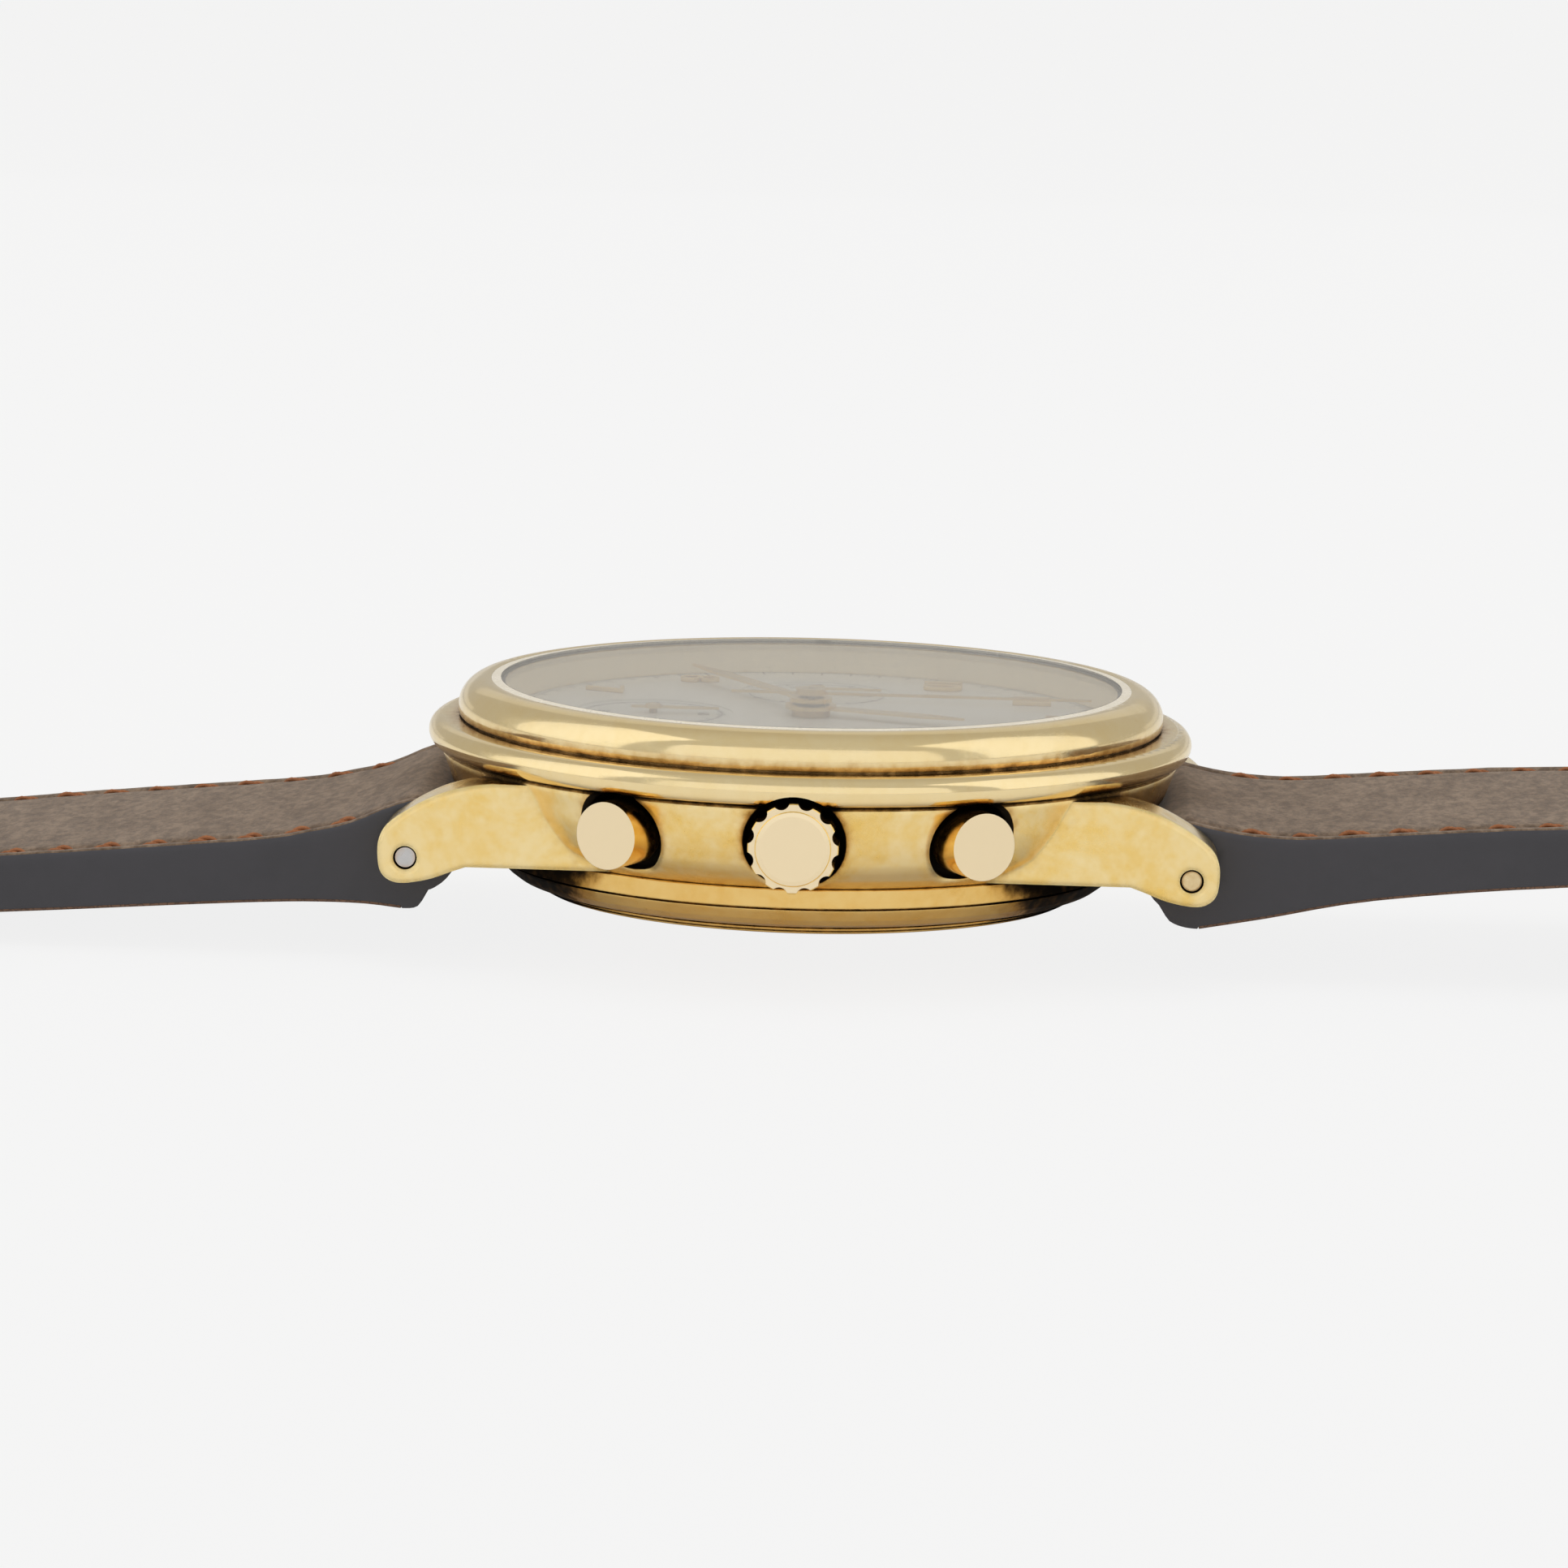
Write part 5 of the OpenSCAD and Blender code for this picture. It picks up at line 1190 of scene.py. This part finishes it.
def make_scale():
    """Marks round a circle, and the circle itself where Circle Width isn't 0."""
    tree, given, end = new_group(
        "GeometryNodeTree", "scale",
        {"Count": 60, "Radius": 14.9 * MM, "Length": 0.6 * MM, "Width": 0.07 * MM, "Circle Width": 0.0,
         "Centre X": 0.0, "Centre Y": 0.0, "Height": 0.0}, ("Geometry",))
    ring = put(tree, "GeometryNodeMeshCircle", {"Vertices": given["Count"], "Radius": given["Radius"]})
    mark = put(tree, "GeometryNodeMeshCube", {"Size": xyz(tree, given["Length"], given["Width"], INK_T)})
    outward = put(tree, "FunctionNodeAlignRotationToVector", {
        "Vector": put(tree, "GeometryNodeInputPosition")}, axis="X", pivot_axis="Z")
    marks = put(tree, "GeometryNodeInstanceOnPoints", {
        "Points": ring, "Instance": mark, "Rotation": outward})
    circle = put(tree, "GeometryNodeCurvePrimitiveCircle", {"Resolution": 120, "Radius": given["Radius"]})
    flat = put(tree, "GeometryNodeCurvePrimitiveQuadrilateral", {
        "Width": given["Circle Width"], "Height": INK_T})
    rim = put(tree, "GeometryNodeCurveToMesh", {"Curve": circle, "Profile Curve": flat})
    has_rim = calc(tree, "GREATER_THAN", given["Circle Width"], 0.0)
    both = put(tree, "GeometryNodeJoinGeometry", {0: marks})
    fill(both, {0: put(tree, "GeometryNodeSwitch", {"Switch": has_rim, "True": rim},
                       input_type="GEOMETRY")})
    centre = xyz(tree, given["Centre X"], given["Centre Y"], given["Height"])
    placed = put(tree, "GeometryNodeTransform", {"Geometry": both, "Translation": centre})
    return end_tree(tree, end, placed, dial_print)


scale = make_scale()
print(scale.name, len(scale.nodes), "nodes")

# %% Applied numerals
dial_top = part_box("dial")[1].z
dial_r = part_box("dial")[1].x
NUMERAL_IN = 3.0 * MM  # from the dial's edge


def rounded(seed):
    """A fine bevel on a number's rim, as a casting has."""
    bevel = seed.modifiers.new("rounding", "BEVEL")
    bevel.width = 0.045 * MM
    bevel.segments = 2
    bevel.limit_method = "ANGLE"
    bevel.angle_limit = math.radians(50)


numerals = join("numerals", [
    grow("numeral", applied_number, {
        "Word": str(hour), "Size": 2.9 * MM, "Depth": 0.24 * MM, "Distance": dial_r - NUMERAL_IN,
        "Angle": 90.0 - 30.0 * hour, "Height": dial_top - 0.01 * MM}, more=rounded)
    for hour in (1, 2, 4, 5, 7, 8, 10, 11, 12)])
numerals.data.shade_flat()
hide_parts("hour_markers")
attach(numerals, "case")
print("numerals", len(numerals.data.polygons), "faces")

# %% Printed scales
SUNK = 0.08 * MM  # the small dials lie this much under the dial's top
track_r = dial_r - 1.0 * MM
prints = [
    grow("minutes", scale, {"Count": 60, "Radius": track_r, "Length": 0.7 * MM, "Width": 0.09 * MM,
                            "Height": dial_top}),
    grow("fifths", scale, {"Count": 300, "Radius": track_r + 0.15 * MM, "Length": 0.32 * MM,
                           "Width": 0.035 * MM, "Height": dial_top})]
small_scales = ((60, 12, {90: "60", 0: "15", 270: "30", 180: "45"}),
                (30, 6, {90: "30", 330: "10", 210: "20"}),
                (24, 12, {90: "12", 330: "4", 210: "8"}))
for centre, (fine, coarse, words) in zip(small_dials, small_scales):
    at = {"Centre X": centre.x, "Centre Y": centre.y, "Height": dial_top - SUNK}
    prints.append(grow("fine", scale, {"Count": fine, "Radius": 3.45 * MM, "Length": 0.3 * MM,
                                       "Width": 0.04 * MM, "Circle Width": 0.04 * MM, **at}))
    prints.append(grow("coarse", scale, {"Count": coarse, "Radius": 3.4 * MM, "Length": 0.5 * MM,
                                         "Width": 0.09 * MM, **at}))
    prints += [
        grow("word", printed_number, {"Word": word, "Size": 0.85 * MM, "Depth": 0.01 * MM,
                                      "Distance": 2.5 * MM, "Angle": float(angle), **at})
        for angle, word in words.items()]
for piece in prints:
    piece.data.shade_flat()
dial_scales = join("dial_scales", prints)
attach(dial_scales, "case")
print("scales", len(dial_scales.data.polygons), "faces")

# %% [markdown]
# ## Table and light
# The watch stands on a plain pale table under large soft lamps. Gold shows what stands round it, so the
# lamps are placed for their reflections: one in front, which draws the bright band along each ring, one at
# each side, which ends that band, a strip on the horizon for the lugs, and a weak one behind for the top of
# the rings. The one overhead only lights the dial and the leather, and gold doesn't mirror it. The table is
# brighter to the eye than in the gold, as if grey cards stood just out of view, because gold on pure white
# loses its colour.

# %% Table
TABLE_GREY = tuple(0.68 * share for share in (1, 0.99, 0.97))
CARD_GLOW = 0.1  # the table's light in the gold
TABLE_GLOW = 0.85  # the table's light to the eye


def make_table():
    """A pale table, brighter to the eye than in the gold."""
    made = bpy.data.materials.new("pale table")
    made.use_nodes = True
    tree = made.node_tree
    seen = put(tree, "ShaderNodeLightPath").outputs["Is Camera Ray"]
    fill(tree.nodes["Principled BSDF"], {
        "Base Color": blend_colour(tree, seen, TABLE_GREY, (0.05, 0.05, 0.05)), "Roughness": 0.9,
        "Specular IOR Level": 0.1, "Emission Color": (1, 1, 1, 1),
        "Emission Strength": calc(tree, "MULTIPLY_ADD", seen, TABLE_GLOW - CARD_GLOW, CARD_GLOW)})
    return made


bm = bmesh.new()
bmesh.ops.create_grid(bm, x_segments=1, y_segments=1, size=6)
bm.transform(Matrix.Translation((0, 0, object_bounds()[0].z - 0.02 * MM)))
table = finish_piece("table", bm, [make_table()])
print("table at", round(table.data.vertices[0].co.z / MM, 2), "mm")

# %% Lamps and surroundings
def lamp(name, place, aim, size, size_y, radiance, mirrored=True):
    """A flat soft lamp of a given brightness per area, turned towards a point. Gold may mirror it or not."""
    light = bpy.data.lights.new(name, "AREA")
    light.shape = "RECTANGLE"
    light.size, light.size_y = size, size_y
    light.energy = radiance * size * size_y
    made = new_object(name, light)
    made.location = place
    made.visible_glossy = made.visible_transmission = mirrored
    made.rotation_euler = (Vector(aim) - Vector(place)).to_track_quat("-Z", "Y").to_euler()


lamp("front", (0.5, 0.0, 0.28), (0, 0, 0.28), 1.0, 0.56, 1.05)
lamp("left", (0.05, -0.45, 0.36), (0, 0, 0.25), 0.45, 0.7, 1.5)
lamp("right", (0.05, 0.45, 0.36), (0, 0, 0.25), 0.45, 0.7, 1.4)
lamp("horizon", (-0.6, 0.0, 0.042), (0, 0, 0.042), 1.0, 0.065, 0.5)
lamp("back", (-0.6, 0.0, 0.42), (0, 0, 0.3), 0.6, 0.5, 0.4)
lamp("overhead", (0.0, 0.0, 0.6), TARGET, 0.5, 0.5, 6.0, mirrored=False)

world = bpy.data.worlds.new("surroundings")
world.use_nodes = True
tree = world.node_tree
seen = put(tree, "ShaderNodeLightPath").outputs["Is Camera Ray"]
way = put(tree, "ShaderNodeTexCoord").outputs["Generated"]
forward = vector_calc(tree, "DOT_PRODUCT", way, (1, 0, 0))
walls = blend_colour(tree, ramp(tree, forward, -0.7, 0.3), (0.49, 0.47, 0.435), (0.58, 0.57, 0.55))
fill(tree.nodes["Background"], {"Color": blend_colour(tree, seen, walls, (0.88, 0.88, 0.88))})
bpy.context.scene.world = world
print("lamps:", [o.name for o in bpy.data.objects if o.type == "LIGHT"])
